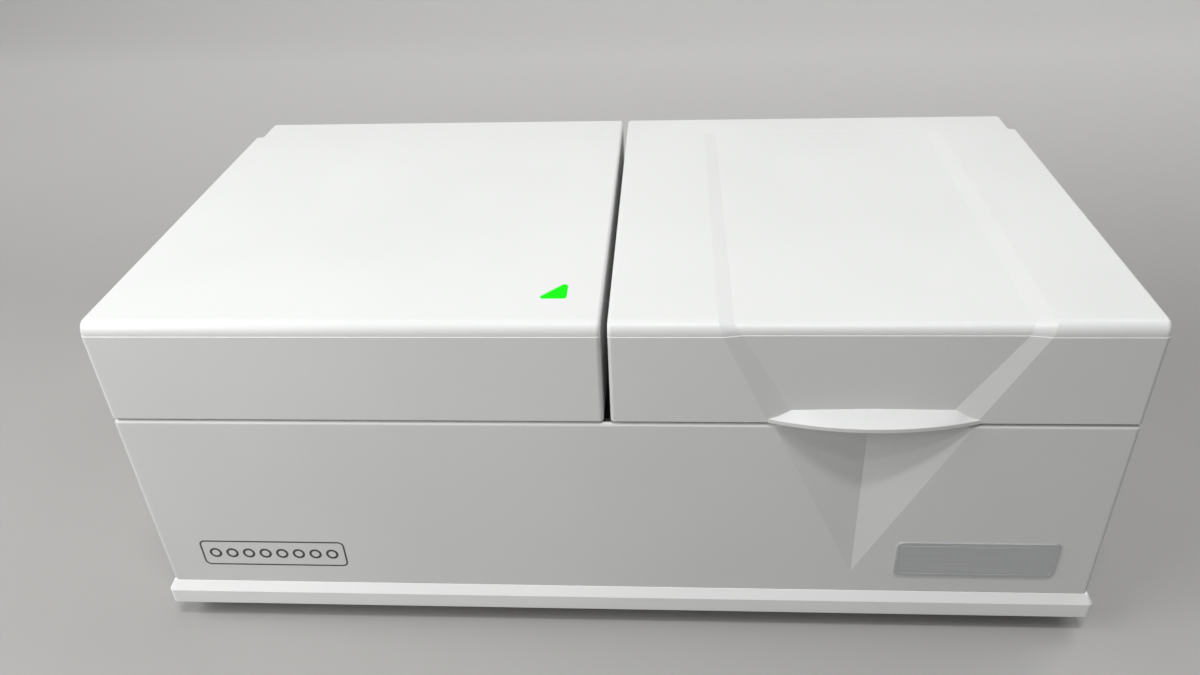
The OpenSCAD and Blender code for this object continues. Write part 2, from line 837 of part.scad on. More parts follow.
module idler_axle() {
    color("silver") {
        rod_along_y(idler_x, belt_y0 - 2, belt_y1 + 3.5, belt_z, 4);
        rod_along_y(idler_x, belt_y0 - 2.8, belt_y0 - 1.6, belt_z, 6);
    }
}

module idler_pulley() {
    pulley(idler_x, 4 + 2 * fit);
}

// ---- Optics ----

module light_baffle() {
    color("black") difference() {
        block([-9, 4, deck_top], [-7, 124.5, 115]);
        // Tunnel for the carrier with a plate on it, and the belt's slot beside it
        block([-10, 11.5, deck_top - 1], [-6, 112.7, 95]);
        block([-10, 112, deck_top + 1.5], [-6, 122, 83]);
    }
}

module chamber_liner() {
    z0 = 81;
    z1 = 82.5;
    color("black") difference() {
        block([0.5, 3, z0], [half_w - 3, 160, z1]);
        block([0, 11.5, 70], [156, 112.7, 90]);
        v_wedge(scoop_half + 8, scoop_low - 16, scoop_deep + wall + 0.5, housing_top);
        block([0, 146, 70], [3, 161, 90]);
        // Louvres above the fan
        for (i = [0 : 9])
            block([60 + i * 7, 140, 70], [63 + i * 7, 154, 90]);
    }
    // Legs stand on the deck
    color("black") for (x = [8, 108])
        block([x, 124.6, deck_top], [x + 6, 130, z0 + eps]);
}

module optics_bridge() {
    x0 = read_x - 8;
    x1 = read_x + 8;
    color("dimgray") difference() {
        union() {
            block([x0, 4, bridge_z[0]], [x1, 128, bridge_z[1]]);
            block([x0, 4, deck_top], [x1, 10, bridge_z[0] + 1]);
            block([x0, 122, deck_top], [x1, 128, bridge_z[0] + 1]);
        }
        for (y = wells) {
            rod_along_z(read_x, y, bridge_z[0] - 1, bridge_z[1] - 4, 6.2);
            rod_along_z(read_x, y, bridge_z[0] - 1, bridge_z[1] + 1, 3);
        }
    }
}

module lens_row() {
    color("lightblue") for (y = wells) {
        rod_along_z(read_x, y, bridge_z[0] + 0.2, bridge_z[0] + 2.4, 6);
        intersection() {
            translate([read_x, y, bridge_z[0] + 4]) sphere(5.2);
            rod_along_z(read_x, y, bridge_z[0] - 2, bridge_z[0] + 0.3, 6);
        }
    }
}

// Cubic curve through four control points
function curve(p, t) = pow(1 - t, 3) * p[0] + 3 * t * pow(1 - t, 2) * p[1]
    + 3 * t * t * (1 - t) * p[2] + pow(t, 3) * p[3];
function unit(v) = v / norm(v);

// Round tube swept along a cubic curve
module swept(p, r, rings, sides) {
    pts = [for (i = [0 : rings]) let (
            t = i / rings,
            c = curve(p, t),
            d = unit(curve(p, min(1, t + 0.01)) - curve(p, max(0, t - 0.01))),
            a = unit(cross(d, [0.2, 0.97, 0.1])),
            b = cross(d, a))
        for (k = [0 : sides - 1])
            c + r * (cos(360 * k / sides) * a + sin(360 * k / sides) * b)];
    walls = [for (i = [0 : rings - 1], k = [0 : sides - 1]) let (
            n = (k + 1) % sides,
            a = i * sides,
            b = a + sides)
        for (f = [[a + k, b + n, a + n], [a + k, b + k, b + n]]) f];
    top = rings * sides;
    caps = [for (k = [1 : sides - 2]) for (f = [[0, k, k + 1], [top, top + k + 1, top + k]]) f];
    polyhedron(points = pts, faces = concat(walls, caps));
}

module fibre_bundle() {
    top = bridge_z[1];
    start = [-58, wheel_y, beam_z];
    color("black") {
        rod_along_x(-71.4, start[0], wheel_y, beam_z, 8);
        for (i = [0 : 7]) {
            a = 360 * i / 8;
            from = start + [-0.5, 2.4 * cos(a), 2.4 * sin(a)];
            to = [read_x, wells[i], top + 2];
            swept([from, from + [22, 0, 0], to + [-6, 14 + i, 10], to], 0.8, 12, 8);
            rod_along_z(read_x, wells[i], top, top + 3.4, 4);
        }
    }
}

module detector_bar() {
    color("dimgray") difference() {
        block([read_x - 7, 26, 61.6], [read_x + 7, 98, 71.5]);
        for (y = wells)
            rod_along_z(read_x, y, 61, 72, 5);
    }
}

module photodiodes() {
    color("navy") for (y = wells)
        rod_along_z(read_x, y, 61.6, 63.4, 4.6);
}

module detector_board() {
    color("green") difference() {
        block([read_x - 20, 24, deck_top], [read_x + 10, 100, 61.6]);
        for (x = [read_x - 17, read_x + 7], y = [27, 97])
            rod_along_z(x, y, deck_top - 1, 62, 3);
    }
    color("white") block([read_x - 18, 44, 61.6 - eps], [read_x - 12, 80, 65]);
}

module lamp_housing() {
    x0 = lamp_x[0];
    x1 = lamp_x[1];
    color("silver") difference() {
        union() {
            block([x0, 124.5, deck_top], [x1, 158.5, 106]);
            rod_along_x(x1 - 1, x1 + 6, wheel_y, beam_z, 15);
            for (i = [0 : 6])
                block([x0 + i * 5, 124.5, 105], [x0 + i * 5 + 2, 158.5, 112]);
        }
        block([x0 + 2.5, 127, deck_top - 1], [x1 - 2.5, 156, 103.5]);
        rod_along_x(x1 - 4, x1 + 7, wheel_y, beam_z, 11);
    }
}

module lamp_bulb() {
    mid = (lamp_x[0] + lamp_x[1]) / 2;
    color("white") block([mid - 8, wheel_y - 8, deck_top], [mid + 8, wheel_y + 8, 80]);
    color("white") rod_along_z(mid, wheel_y, 80 - eps, 88, 11);
    color("lightblue") {
        rod_along_z(mid, wheel_y, 88 - eps, 98, 9);
        translate([mid, wheel_y, 98]) sphere(d = 9);
    }
}

module condenser_lens() {
    color("lightblue") translate([lamp_x[1] + 3, wheel_y, beam_z]) rotate([0, 90, 0])
        rotate_extrude() intersection() {
            translate([0, -8]) circle(10);
            translate([0, 8]) circle(10);
            translate([0, -3]) square([5.4, 6]);
        }
}

module filter_wheel() {
    color("black") difference() {
        union() {
            rod_along_x(wheel_x, wheel_x + wheel_t, wheel_y, wheel_z, 2 * wheel_r);
            rod_along_x(wheel_x + wheel_t - eps, wheel_x + 6.4, wheel_y, wheel_z, 10);
        }
        rod_along_x(wheel_x - 1, wheel_x + 8, wheel_y, wheel_z, 3);
        for (i = [0 : filter_count - 1]) {
            a = 90 + i * 360 / filter_count;
            rod_along_x(wheel_x - 1, wheel_x + wheel_t + 1, wheel_y + filter_pitch_r * cos(a),
                wheel_z + filter_pitch_r * sin(a), filter_d);
        }
        // Home notch in the rim
        block([wheel_x - 1, wheel_y + wheel_r - 1.5, wheel_z - 1],
            [wheel_x + 5, wheel_y + wheel_r + 1, wheel_z + 1]);
    }
}

module optical_filters() {
    color("steelblue") for (i = [0 : filter_count - 1]) {
        a = 90 + i * 360 / filter_count;
        rod_along_x(wheel_x + 1, wheel_x + 3, wheel_y + filter_pitch_r * cos(a),
            wheel_z + filter_pitch_r * sin(a), filter_d);
    }
}

module filter_motor() {
    color("silver") difference() {
        rod_along_x(-68.5, -50, wheel_y, wheel_z, 20);
        rod_along_x(-69, -54, wheel_y, wheel_z, 3 + 2 * fit);
    }
}

module wheel_shaft() {
    color("silver") rod_along_x(wheel_x - 1.5, -55, wheel_y, wheel_z, 3);
}

// ---- Electronics ----

module main_board() {
    color("green") difference() {
        block([board[0], board[2], board_z], [board[1], board[3], board_z + board_t]);
        for (x = [board[0] + 6, board[1] - 6], y = [board[2] + 6, board[3] - 6])
            rod_along_z(x, y, board_z - 1, board_z + 3, 3.2);
    }
}

module board_parts() {
    z = board_z + board_t;
    color("dimgray") {
        block([-20, 60, z], [2, 82, z + 2.4]);
        block([20, 64, z], [34, 78, z + 1.8]);
        for (i = [0 : 3])
            block([46 + i * 11, 40, z], [53 + i * 11, 50, z + 1.6]);
        for (i = [0 : 2])
            block([46 + i * 14, 92, z], [56 + i * 14, 96, z + 9]);
    }
    color("navy") for (i = [0 : 4])
        rod_along_z(-58 + i * 12, 110, z, z + 14, 8);
    color("white") {
        block([-64, 44, z], [-58, 80, z + 8]);
        for (i = [0 : 3])
            block([-30 + i * 22, 26, z], [-16 + i * 22, 32, z + 9]);
    }
}

module power_supply() {
    a = [-144, 24, floor_top];
    b = [-86, 136, 42];
    color("silver") difference() {
        block(a, b);
        block(a + [1.2, 1.2, 1.2], b - [1.2, 1.2, 1.2]);
        for (i = [0 : 8])
            block([a[0] + 12 + i * 6, a[1] + 12, b[2] - 2], [a[0] + 15 + i * 6, b[1] - 12, b[2] + 1]);
        for (i = [0 : 12])
            block([b[0] - 2, a[1] + 14 + i * 7, 12], [b[0] + 1, a[1] + 17 + i * 7, 34]);
    }
}

place() base_tray();
place() feet();
place() case_screws();
place() lower_housing();
place() light_seal();
place() hinge_shaft();
place() hinge_bracket();
place() rear_panel();
place() power_inlet();
place() inlet_pins();
place() fuse_drawer();
place() switch_frame();
place() switch_rocker();
place() usb_port();
place() fan_frame();
place() fan_rotor();
place() fan_guard();
place() badge();
place() service_lid();
place() service_lid_bushes();
place() indicator_lens();
place() indicator_board();
place() plate_lid();
place() plate_lid_bushes();
place() deck_plate();
place() deck_pillars();
place() guide_rods();
place() rod_supports();
place() plate_carrier();
place() carrier_bearings();
place() clamp_lever();
place() clamp_pin();
place() clamp_spring();
place() belt_clamp();
place() drive_belt();
place() motor_brackets();
place() drive_motor();
place() motor_shaft();
place() motor_pulley();
place() idler_axle();
place() idler_pulley();
place() light_baffle();
place() chamber_liner();
place() optics_bridge();
place() lens_row();
place() fibre_bundle();
place() detector_bar();
place() photodiodes();
place() detector_board();
place() lamp_housing();
place() lamp_bulb();
place() condenser_lens();
place() filter_wheel();
place() optical_filters();
place() filter_motor();
place() wheel_shaft();
place() main_board();
place() board_parts();
place() power_supply();
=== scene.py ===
"""Looks of a benchtop microplate reader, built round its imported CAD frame.

Sizes are in millimetres in the case frame: x from the middle of the width, y back from the lids'
front face, z up from the underside of the base tray. at() turns such a point into the frame's metres.
"""

import json
from math import asin, cos, degrees, pi, radians, sin, sqrt

import bmesh
import bpy
from mathutils import Matrix, Vector

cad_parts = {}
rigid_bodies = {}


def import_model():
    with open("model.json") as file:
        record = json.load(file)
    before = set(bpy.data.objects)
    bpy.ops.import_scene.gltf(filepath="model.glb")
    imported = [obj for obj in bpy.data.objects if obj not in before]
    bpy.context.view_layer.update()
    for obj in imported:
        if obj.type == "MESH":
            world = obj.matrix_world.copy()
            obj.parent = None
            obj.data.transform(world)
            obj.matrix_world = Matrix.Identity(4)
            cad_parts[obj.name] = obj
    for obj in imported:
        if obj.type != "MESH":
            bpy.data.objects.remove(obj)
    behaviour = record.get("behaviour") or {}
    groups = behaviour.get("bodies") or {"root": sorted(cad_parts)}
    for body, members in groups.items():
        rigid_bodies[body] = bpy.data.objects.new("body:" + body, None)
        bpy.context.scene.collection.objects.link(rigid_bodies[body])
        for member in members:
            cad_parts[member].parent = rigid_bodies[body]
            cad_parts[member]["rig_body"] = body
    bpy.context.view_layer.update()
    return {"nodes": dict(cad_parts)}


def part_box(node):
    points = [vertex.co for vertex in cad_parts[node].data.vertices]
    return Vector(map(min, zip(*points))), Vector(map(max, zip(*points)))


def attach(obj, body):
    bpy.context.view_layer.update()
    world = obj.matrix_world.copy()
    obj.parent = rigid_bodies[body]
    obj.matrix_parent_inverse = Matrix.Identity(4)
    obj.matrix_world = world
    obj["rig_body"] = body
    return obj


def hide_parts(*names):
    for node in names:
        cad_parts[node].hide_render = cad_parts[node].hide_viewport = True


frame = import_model()

MM = 0.001
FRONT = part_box("service_lid")[0].y
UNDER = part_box("base_tray")[0].z


# ---- Places ----


def at(x, y, z):
    """A point in case millimetres, in the frame's metres."""
    return Vector((x * MM, FRONT + y * MM, UNDER + z * MM))


class Span:
    """The box of one or more CAD nodes, in case millimetres."""

    def __init__(self, *nodes):
        boxes = [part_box(node) for node in nodes]
        self.x0, self.y0, self.z0 = (min(low[k] for low, _ in boxes) / MM for k in range(3))
        self.x1, self.y1, self.z1 = (max(high[k] for _, high in boxes) / MM for k in range(3))
        for name in ("y0", "y1"):
            setattr(self, name, getattr(self, name) - FRONT / MM)
        for name in ("z0", "z1"):
            setattr(self, name, getattr(self, name) - UNDER / MM)
        self.x = (self.x0 + self.x1) / 2
        self.y = (self.y0 + self.y1) / 2
        self.z = (self.z0 + self.z1) / 2


# ---- Outlines ----


def quarter(steps):
    """Angles that divide a quarter turn into steps, both ends included."""
    return [pi / 2 * k / steps for k in range(steps + 1)]


def rounded(corners, steps=8):
    """Points round an anticlockwise outline of (x, y, radius) corners."""
    found = []
    for i, (x, y, r) in enumerate(corners):
        before = Vector((x, y)) - Vector(corners[i - 1][:2])
        after = Vector(corners[(i + 1) % len(corners)][:2]) - Vector((x, y))
        n0 = Vector((before.y, -before.x)).normalized()
        n1 = Vector((after.y, -after.x)).normalized()
        side = 1 if before.x * after.y - before.y * after.x > 0 else -1
        centre = Vector((x, y)) - side * r * (n0 + n1) / (1 + n0.dot(n1))
        turn = side * n0.angle(n1)
        for k in range(steps + 1):
            found.append(tuple(centre + side * r * (Matrix.Rotation(turn * k / steps, 2) @ n0)))
    return found


def rectangle(x0, x1, y0, y1, r):
    """Corners of an upright rectangle with one radius."""
    return [(x0, y0, r), (x1, y0, r), (x1, y1, r), (x0, y1, r)]


def inset(corners, sides, front=None, rear=None, steps=8):
    """Rounded outline moved inward, by its own amounts on the sides, the front and the rear."""
    front = sides if front is None else front
    rear = sides if rear is None else rear
    lines = []
    for i, (x, y, _) in enumerate(corners):
        ahead = Vector(corners[(i + 1) % len(corners)][:2]) - Vector((x, y))
        n = Vector((ahead.y, -ahead.x)).normalized()
        amount = sides if abs(n.x) > abs(n.y) else front if n.y < 0 else rear
        lines.append((n, n.dot(Vector((x, y))) - amount, amount))
    moved = []
    for i, (x, y, r) in enumerate(corners):
        (n0, c0, a0), (n1, c1, a1) = lines[i - 1], lines[i]
        cross = n0.x * n1.y - n0.y * n1.x
        place = ((c0 * n1.y - c1 * n0.y) / cross, (c1 * n0.x - c0 * n1.x) / cross)
        come = min(a0, a1) if cross > 0 else -min(a0, a1)
        moved.append((*place, max(r - come, 0.12)))
    return rounded(moved, steps)


# ---- Meshes ----


class Shape:
    """Points in case millimetres, and the faces between them."""

    def __init__(self):
        self.points = []
        self.faces = []
        self.creases = []

    def add(self, points, faces):
        first = len(self.points)
        self.points += [tuple(p) for p in points]
        self.faces += [[first + k for k in face] for face in faces]
        return first

    def loft(self, rings, caps=True, closed=False):
        """Skin over rings of equal length, closed on itself, or open with or without caps.

        The first ring's points run anticlockwise seen from the last.
        """
        count = len(rings[0])
        high = len(rings)
        faces = []
        for level in range(high if closed else high - 1):
            a, b = level * count, (level + 1) % high * count
            for k in range(count):
                n = (k + 1) % count
                faces.append([a + k, a + n, b + n, b + k])
        if caps and not closed:
            faces.append(list(range(count))[::-1])
            faces.append([(high - 1) * count + k for k in range(count)])
        self.add([p for ring in rings for p in ring], faces)

    def layers(self, outline, levels, axis="z", steps=8, closed=False):
        """Skin over insets of an outline: levels are (place along z or y, inset)."""
        rings = []
        for h, come in levels:
            flat = inset(outline, come, steps=steps)
            rings.append([(a, b, h) if axis == "z" else (a, h, b) for a, b in flat])
        self.loft(rings, closed=closed)

    def block(self, x0, x1, y0, y1, z0, z1):
        ring = [(x0, y0), (x1, y0), (x1, y1), (x0, y1)]
        self.loft([[(x, y, z) for x, y in ring] for z in (z0, z1)])

    def lathe(self, profile, centre, axis="z", steps=48, caps=True):
        """Turn (radius, height) pairs about an axis through centre; without caps the profile closes.

        A radius may also be a function of the angle.
        """
        rings = []
        for radius, h in profile:
            ring = []
            for k in range(steps):
                a = 2 * pi * k / steps
                r = radius(a) if callable(radius) else radius
                u, v = r * cos(a), r * sin(a)
                local = {"z": (u, v, h), "y": (v, h, u), "x": (h, u, v)}[axis]
                ring.append(tuple(c + d for c, d in zip(centre, local)))
            rings.append(ring)
        self.loft(rings, closed=not caps)

    def tube(self, path, radius, sides=12, caps=True):
        """Round tube along a list of points."""
        path = [Vector(p) for p in path]
        rings = []
        up = None
        for i, p in enumerate(path):
            ahead = (path[min(i + 1, len(path) - 1)] - path[max(i - 1, 0)]).normalized()
            if up is None:
                up = ahead.orthogonal().normalized()
            up = (up - ahead * up.dot(ahead)).normalized()
            across = ahead.cross(up)
            rings.append([p + radius * (cos(a) * up + sin(a) * across)
                          for a in (2 * pi * k / sides for k in range(sides))])
        self.loft(rings, caps)


def mesh_of(name, shape):
    """A Blender mesh of a shape, in metres, with every face turned outward."""
    mesh = bpy.data.meshes.new(name)
    mesh.from_pydata([at(*p) for p in shape.points], [], shape.faces)
    bm = bmesh.new()
    bm.from_mesh(mesh)
    bmesh.ops.recalc_face_normals(bm, faces=bm.faces)
    bm.to_mesh(mesh)
    bm.free()
    return mesh


def new_object(name, data):
    """An object in the scene that holds a mesh, camera or light."""
    thing = bpy.data.objects.new(name, data)
    bpy.context.scene.collection.objects.link(thing)
    return thing


def edge_angle(edge):
    """Angle in degrees between an edge's two faces, 0 where it hasn't two."""
    return degrees(edge.calc_face_angle(0)) if len(edge.link_faces) == 2 else 0


def sharpen(mesh, limit, lines=(), where=None):
    """Smooth shading, with sharp edges past a limit in degrees, along given lines, and where asked."""
    bm = bmesh.new()
    bm.from_mesh(mesh)
    bm.verts.ensure_lookup_table()
    marked = {frozenset(pair) for line in lines for pair in zip(line, line[1:])}
    for face in bm.faces:
        face.smooth = True
    for edge in bm.edges:
        angle = edge_angle(edge)
        chosen = frozenset(v.index for v in edge.verts) in marked
        middle = (edge.verts[0].co + edge.verts[1].co) / 2
        placed = where is not None and angle > 2 and where(middle)
        if angle > limit or chosen or placed:
            edge.smooth = False
    bm.to_mesh(mesh)
    bm.free()


def piece(name, shape, finish, replaces=(), limit=25, body="case", slot=None):
    """A shape as a named piece in a named finish; the slot argument is not used."""
    mesh = mesh_of(name, shape)
    sharpen(mesh, limit, shape.creases)
    slot = slot or (finish if replaces else None)
    return dress(new_object(name, mesh), body, MATERIALS[finish], replaces)


def even_out(thing):
    """Normals weighted by face area, so that flat faces stay flat beside their rounds."""
    even = thing.modifiers.new("even", "WEIGHTED_NORMAL")
    even.keep_sharp = True
    even.weight = 60


def dress(thing, body, material, replaces):
    """Gives a piece its body and its material, and hides the CAD nodes that it stands for."""
    even_out(thing)
    thing.data.materials.clear()
    thing.data.materials.append(material)
    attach(thing, body)
    if replaces:
        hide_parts(*replaces)
    return thing


def combine(thing, shape, operation):
    """Applies a boolean with a shape to a piece's mesh."""
    other = new_object("cutter", mesh_of("cutter", shape))
    thing.modifiers.clear()
    modifier = thing.modifiers.new("combine", "BOOLEAN")
    modifier.operation = operation
    modifier.solver = "EXACT"
    modifier.use_self = operation == "UNION"
    modifier.object = other
    bpy.context.view_layer.update()
    cut = thing.evaluated_get(bpy.context.evaluated_depsgraph_get())
    made = bpy.data.meshes.new_from_object(cut)
    thing.modifiers.clear()
    thing.data = made
    bpy.data.objects.remove(other)
    bpy.context.view_layer.update()


def finish_shell(thing, limit, where=None):
    """Edges and normals of a piece whose mesh has been through booleans."""
    sharpen(thing.data, limit, where=where)
    even_out(thing)


def refine(node, width, segments=2):
    """Stands a copy of a CAD node, with its edges broken by a round of width mm, in the node's place."""
    source = frame["nodes"][node]
    bm = bmesh.new()
    bm.from_mesh(source.data)
    bmesh.ops.remove_doubles(bm, verts=bm.verts, dist=1e-6)
    bmesh.ops.dissolve_limit(bm, angle_limit=radians(0.4), verts=bm.verts, edges=bm.edges)
    edges = [edge for edge in bm.edges if edge_angle(edge) > 30]
    bmesh.ops.bevel(bm, geom=edges, offset=width * MM, segments=segments, profile=0.5,
                    affect="EDGES", clamp_overlap=True)
    mesh = bpy.data.meshes.new(node + "_refined")
    bm.to_mesh(mesh)
    bm.free()
    sharpen(mesh, 40)
    slot = source.data.materials[0].name
    dress(new_object(node + "_part", mesh), source["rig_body"], MATERIALS[slot],
          [node])


# ---- Materials ----


class Finish:
    """A procedural material: colour that drifts, roughness that varies and a fine relief."""

    def __init__(self, name, colour, rough, metal=0.0, **sockets):
        self.material = bpy.data.materials.new(name)
        self.material.use_nodes = True
        self.nodes = self.material.node_tree.nodes
        self.links = self.material.node_tree.links
        self.shader = self.nodes["Principled BSDF"]
        self.colour = colour
        self.height = None
        self.set("Base Color", (*colour, 1))
        self.set("Roughness", rough)
        self.set("Metallic", metal)
        for socket, value in sockets.items():
            self.set(socket.replace("_", " "), value)
        self.place = self.nodes.new("ShaderNodeTexCoord").outputs["Object"]
        self.material.diffuse_color = (*colour, 1)

    def set(self, socket, value):
        self.shader.inputs[socket].default_value = value

    def noise(self, size, detail, stretch):
        """Noise whose features are about size millimetres across."""
        mapping = self.nodes.new("ShaderNodeMapping")
        mapping.inputs["Scale"].default_value = [1 / (size * MM * s) for s in stretch]
        self.links.new(self.place, mapping.inputs["Vector"])
        noise = self.nodes.new("ShaderNodeTexNoise")
        noise.inputs["Scale"].default_value = 1.0
        noise.inputs["Detail"].default_value = detail
        noise.inputs["Roughness"].default_value = 0.5
        self.links.new(mapping.outputs["Vector"], noise.inputs["Vector"])
        return noise.outputs["Fac"]

    def span(self, value, low, high, start=0.3, stop=0.7):
        """Maps a value from start..stop to low..high."""
        node = self.nodes.new("ShaderNodeMapRange")
        for socket, number in (("From Min", start), ("From Max", stop), ("To Min", low), ("To Max", high)):
            node.inputs[socket].default_value = number
        self.links.new(value, node.inputs["Value"])
        return node.outputs["Result"]

    def toward(self, other, share):
        """Mixes another colour into the base colour, by a share from a socket."""
        mix = self.nodes.new("ShaderNodeMix")
        mix.data_type = "RGBA"
        mix.inputs["A"].default_value = (*self.colour, 1)
        mix.inputs["B"].default_value = (*other, 1)
        base = self.shader.inputs["Base Color"]
        if base.is_linked:
            self.links.new(base.links[0].from_socket, mix.inputs["A"])
        self.links.new(share, mix.inputs["Factor"])
        self.links.new(mix.outputs["Result"], base)
        return self

    def drift(self, other, size, stretch=(1, 1, 1), start=0.3, stop=0.7):
        """Colour wanders between the base colour and another one."""
        return self.toward(other, self.span(self.noise(size, 4, stretch), 0, 1, start, stop))

    def fade(self, other, axis, start, stop):
        """Colour changes to another one between two places along an axis, in metres."""
        split = self.nodes.new("ShaderNodeSeparateXYZ")
        self.links.new(self.place, split.inputs["Vector"])
        return self.toward(other, self.span(split.outputs[axis], 0, 1, start, stop))

    def vary(self, low, high, size, stretch=(1, 1, 1)):
        """Roughness wanders between two values."""
        self.links.new(self.span(self.noise(size, 4, stretch), low, high), self.shader.inputs["Roughness"])
        return self

    def relief(self, size, depth, detail=2.0, stretch=(1, 1, 1)):
        """Adds a bump of the given depth in millimetres; several calls stack."""
        bump = self.nodes.new("ShaderNodeBump")
        bump.inputs["Distance"].default_value = depth * MM
        bump.inputs["Strength"].default_value = 1.0
        self.links.new(self.noise(size, detail, stretch), bump.inputs["Height"])
        if self.height is not None:
            self.links.new(self.height, bump.inputs["Normal"])
        self.height = bump.outputs["Normal"]
        self.links.new(self.height, self.shader.inputs["Normal"])
        return self


def moulded(name, colour, rough, grain=0.5, depth=0.012, **sockets):
    """Injection-moulded plastic with an eroded texture, a faint cloudiness and handling marks."""
    darker = [c * 0.955 for c in colour]
    return (Finish(name, colour, rough, **sockets)
            .drift(darker, 90)
            .vary(rough - 0.06, rough + 0.07, 35)
            .relief(grain, depth)
            .relief(60, 0.05, 1).material)


def sheet_metal(name, colour, rough, along="x", streak=0.8, metal=1.0):
    """Rolled or drawn metal with a fine grain along one axis; streak is the darkest share of its colour."""
    stretch = {"x": (60, 1, 1), "y": (1, 60, 1), "z": (1, 1, 60)}[along]
    return (Finish(name, colour, rough, metal)
            .drift([c * streak for c in colour], 0.5, stretch)
            .vary(rough - 0.05, rough + 0.07, 0.6, stretch)
            .relief(0.3, 0.002, 2, stretch).material)


def turned(name, colour, rough, **sockets):
    """Machined or ground metal with faint tool marks and smudges."""
    return (Finish(name, colour, rough, 1.0, **sockets)
            .drift([c * 0.85 for c in colour], 6)
            .vary(rough - 0.05, rough + 0.1, 4)
            .relief(0.25, 0.002).material)


def painted(name, colour, rough, grain=0.6, depth=0.02):
    """Powder coat: an orange-peel relief over metal."""
    return (Finish(name, colour, rough)
            .drift([c * 0.85 for c in colour], 25)
            .vary(rough - 0.07, rough + 0.08, 12)
            .relief(grain, depth).material)


def rubbery(name, colour, rough):
    """Matt rubber with a dusty bloom."""
    return (Finish(name, colour, rough)
            .drift([c * 1.9 + 0.01 for c in colour], 5, start=0.45, stop=0.8)
            .vary(rough - 0.1, rough + 0.1, 3)
            .relief(0.4, 0.03).material)


def glassy(name, colour, rough=0.02, **sockets):
    """Clear or tinted glass with the faintest uneven polish."""
    return (Finish(name, colour, rough, Transmission_Weight=1.0, IOR=1.5, **sockets)
            .vary(rough, rough + 0.05, 3)
            .relief(4, 0.003).material)


# Slots whose finish comes from a family: slot, family, colour, roughness and the family's own values
FINISHES = [
    ("case_plastic", moulded, (0.78, 0.79, 0.775), 0.48),
    ("lid_plastic", moulded, (0.80, 0.81, 0.80), 0.42, 0.7, 0.03),
    # The tray's plastic is lighter than the case's as painted highlight, standing in for the light that its
    # flared bevel and band catch
    ("tray_plastic", moulded, (0.93, 0.94, 0.93), 0.40),
    ("foot_rubber", rubbery, (0.025, 0.025, 0.026), 0.8),
    ("seal_foam", rubbery, (0.012, 0.012, 0.012), 0.95),
    ("bright_steel", turned, (0.62, 0.62, 0.61), 0.25),
    ("bush_bronze", turned, (0.62, 0.41, 0.18), 0.33),
    ("panel_paint", painted, (0.52, 0.53, 0.53), 0.5),
    ("black_plastic", moulded, (0.018, 0.018, 0.019), 0.5, 0.4, 0.02),
    ("pin_brass", turned, (0.75, 0.58, 0.28), 0.22),
    ("drawer_plastic", moulded, (0.03, 0.03, 0.032), 0.5, 0.4, 0.02),
    ("rocker_plastic", moulded, (0.02, 0.02, 0.02), 0.3, 0.8, 0.004),
    ("socket_shell", sheet_metal, (0.72, 0.72, 0.73), 0.24, "y"),
    ("fan_plastic", moulded, (0.02, 0.02, 0.021), 0.45, 0.5, 0.015),
    ("badge_silver", sheet_metal, (0.60, 0.61, 0.62), 0.45, "x", 0.9, 0.5),
    ("deck_aluminium", sheet_metal, (0.66, 0.67, 0.68), 0.46, "x", 0.93),
    ("rod_steel", turned, (0.72, 0.72, 0.73), 0.12),
    ("carrier_plastic", moulded, (0.045, 0.047, 0.05), 0.5, 0.4, 0.02),
    ("bearing_polymer", moulded, (0.75, 0.72, 0.62), 0.45, 0.6, 0.008),
    ("belt_rubber", rubbery, (0.018, 0.018, 0.018), 0.7),
    ("motor_paint", painted, (0.025, 0.025, 0.027), 0.42, 0.8, 0.012),
    ("pulley_aluminium", turned, (0.7, 0.7, 0.71), 0.3),
    ("lens_glass", glassy, (0.94, 0.97, 0.98)),
    ("filter_glass", glassy, (0.55, 0.32, 0.85), 0.03),
    ("fibre_jacket", moulded, (0.025, 0.025, 0.027), 0.4, 1.2, 0.01),
    ("diode_dark", moulded, (0.03, 0.03, 0.08), 0.12, 1.5, 0.002),
    ("lamp_aluminium", turned, (0.66, 0.66, 0.66), 0.42),
    ("lamp_ceramic", moulded, (0.85, 0.82, 0.74), 0.4, 0.9, 0.012),
    ("parts_dark", moulded, (0.025, 0.025, 0.027), 0.35, 0.5, 0.01),
]


def make_materials():
    """Every slot's material, by slot name."""
    made = {name: family(name, *values) for name, family, *values in FINISHES}
    made["board_green"] = (Finish("board_green", (0.012, 0.12, 0.05), 0.3).drift((0.02, 0.2, 0.09), 2.2)
                           .vary(0.22, 0.4, 5).relief(1.2, 0.02).material)
    made["anodised_black"] = (Finish("anodised_black", (0.022, 0.022, 0.024), 0.42, 0.6)
                              .drift((0.045, 0.043, 0.045), 14).vary(0.34, 0.5, 6)
                              .relief(0.5, 0.006).material)
    made["zinc_steel"] = (Finish("zinc_steel", (0.56, 0.57, 0.56), 0.34, 1.0)
                          .drift((0.42, 0.45, 0.47), 7, start=0.4, stop=0.6).vary(0.25, 0.45, 5)
                          .relief(0.8, 0.006).material)
    glow = Finish("indicator_green", (0.0, 0.3, 0.0), 0.4, Specular_IOR_Level=0.15)
    glow.set("Emission Color", (0.0, 1.0, 0.0, 1))
    glow.set("Emission Strength", 0.85)
    made["indicator_green"] = glow.drift((0.0, 0.4, 0.0), 6).vary(0.3, 0.5, 4).relief(1.5, 0.01).material
    made["printed_grey"] = (Finish("printed_grey", (0.045, 0.048, 0.05), 0.4)
                            .drift((0.07, 0.073, 0.076), 3).vary(0.35, 0.5, 2).relief(0.3, 0.006).material)
    return made


MATERIALS = make_materials()


# ---- Lids ----

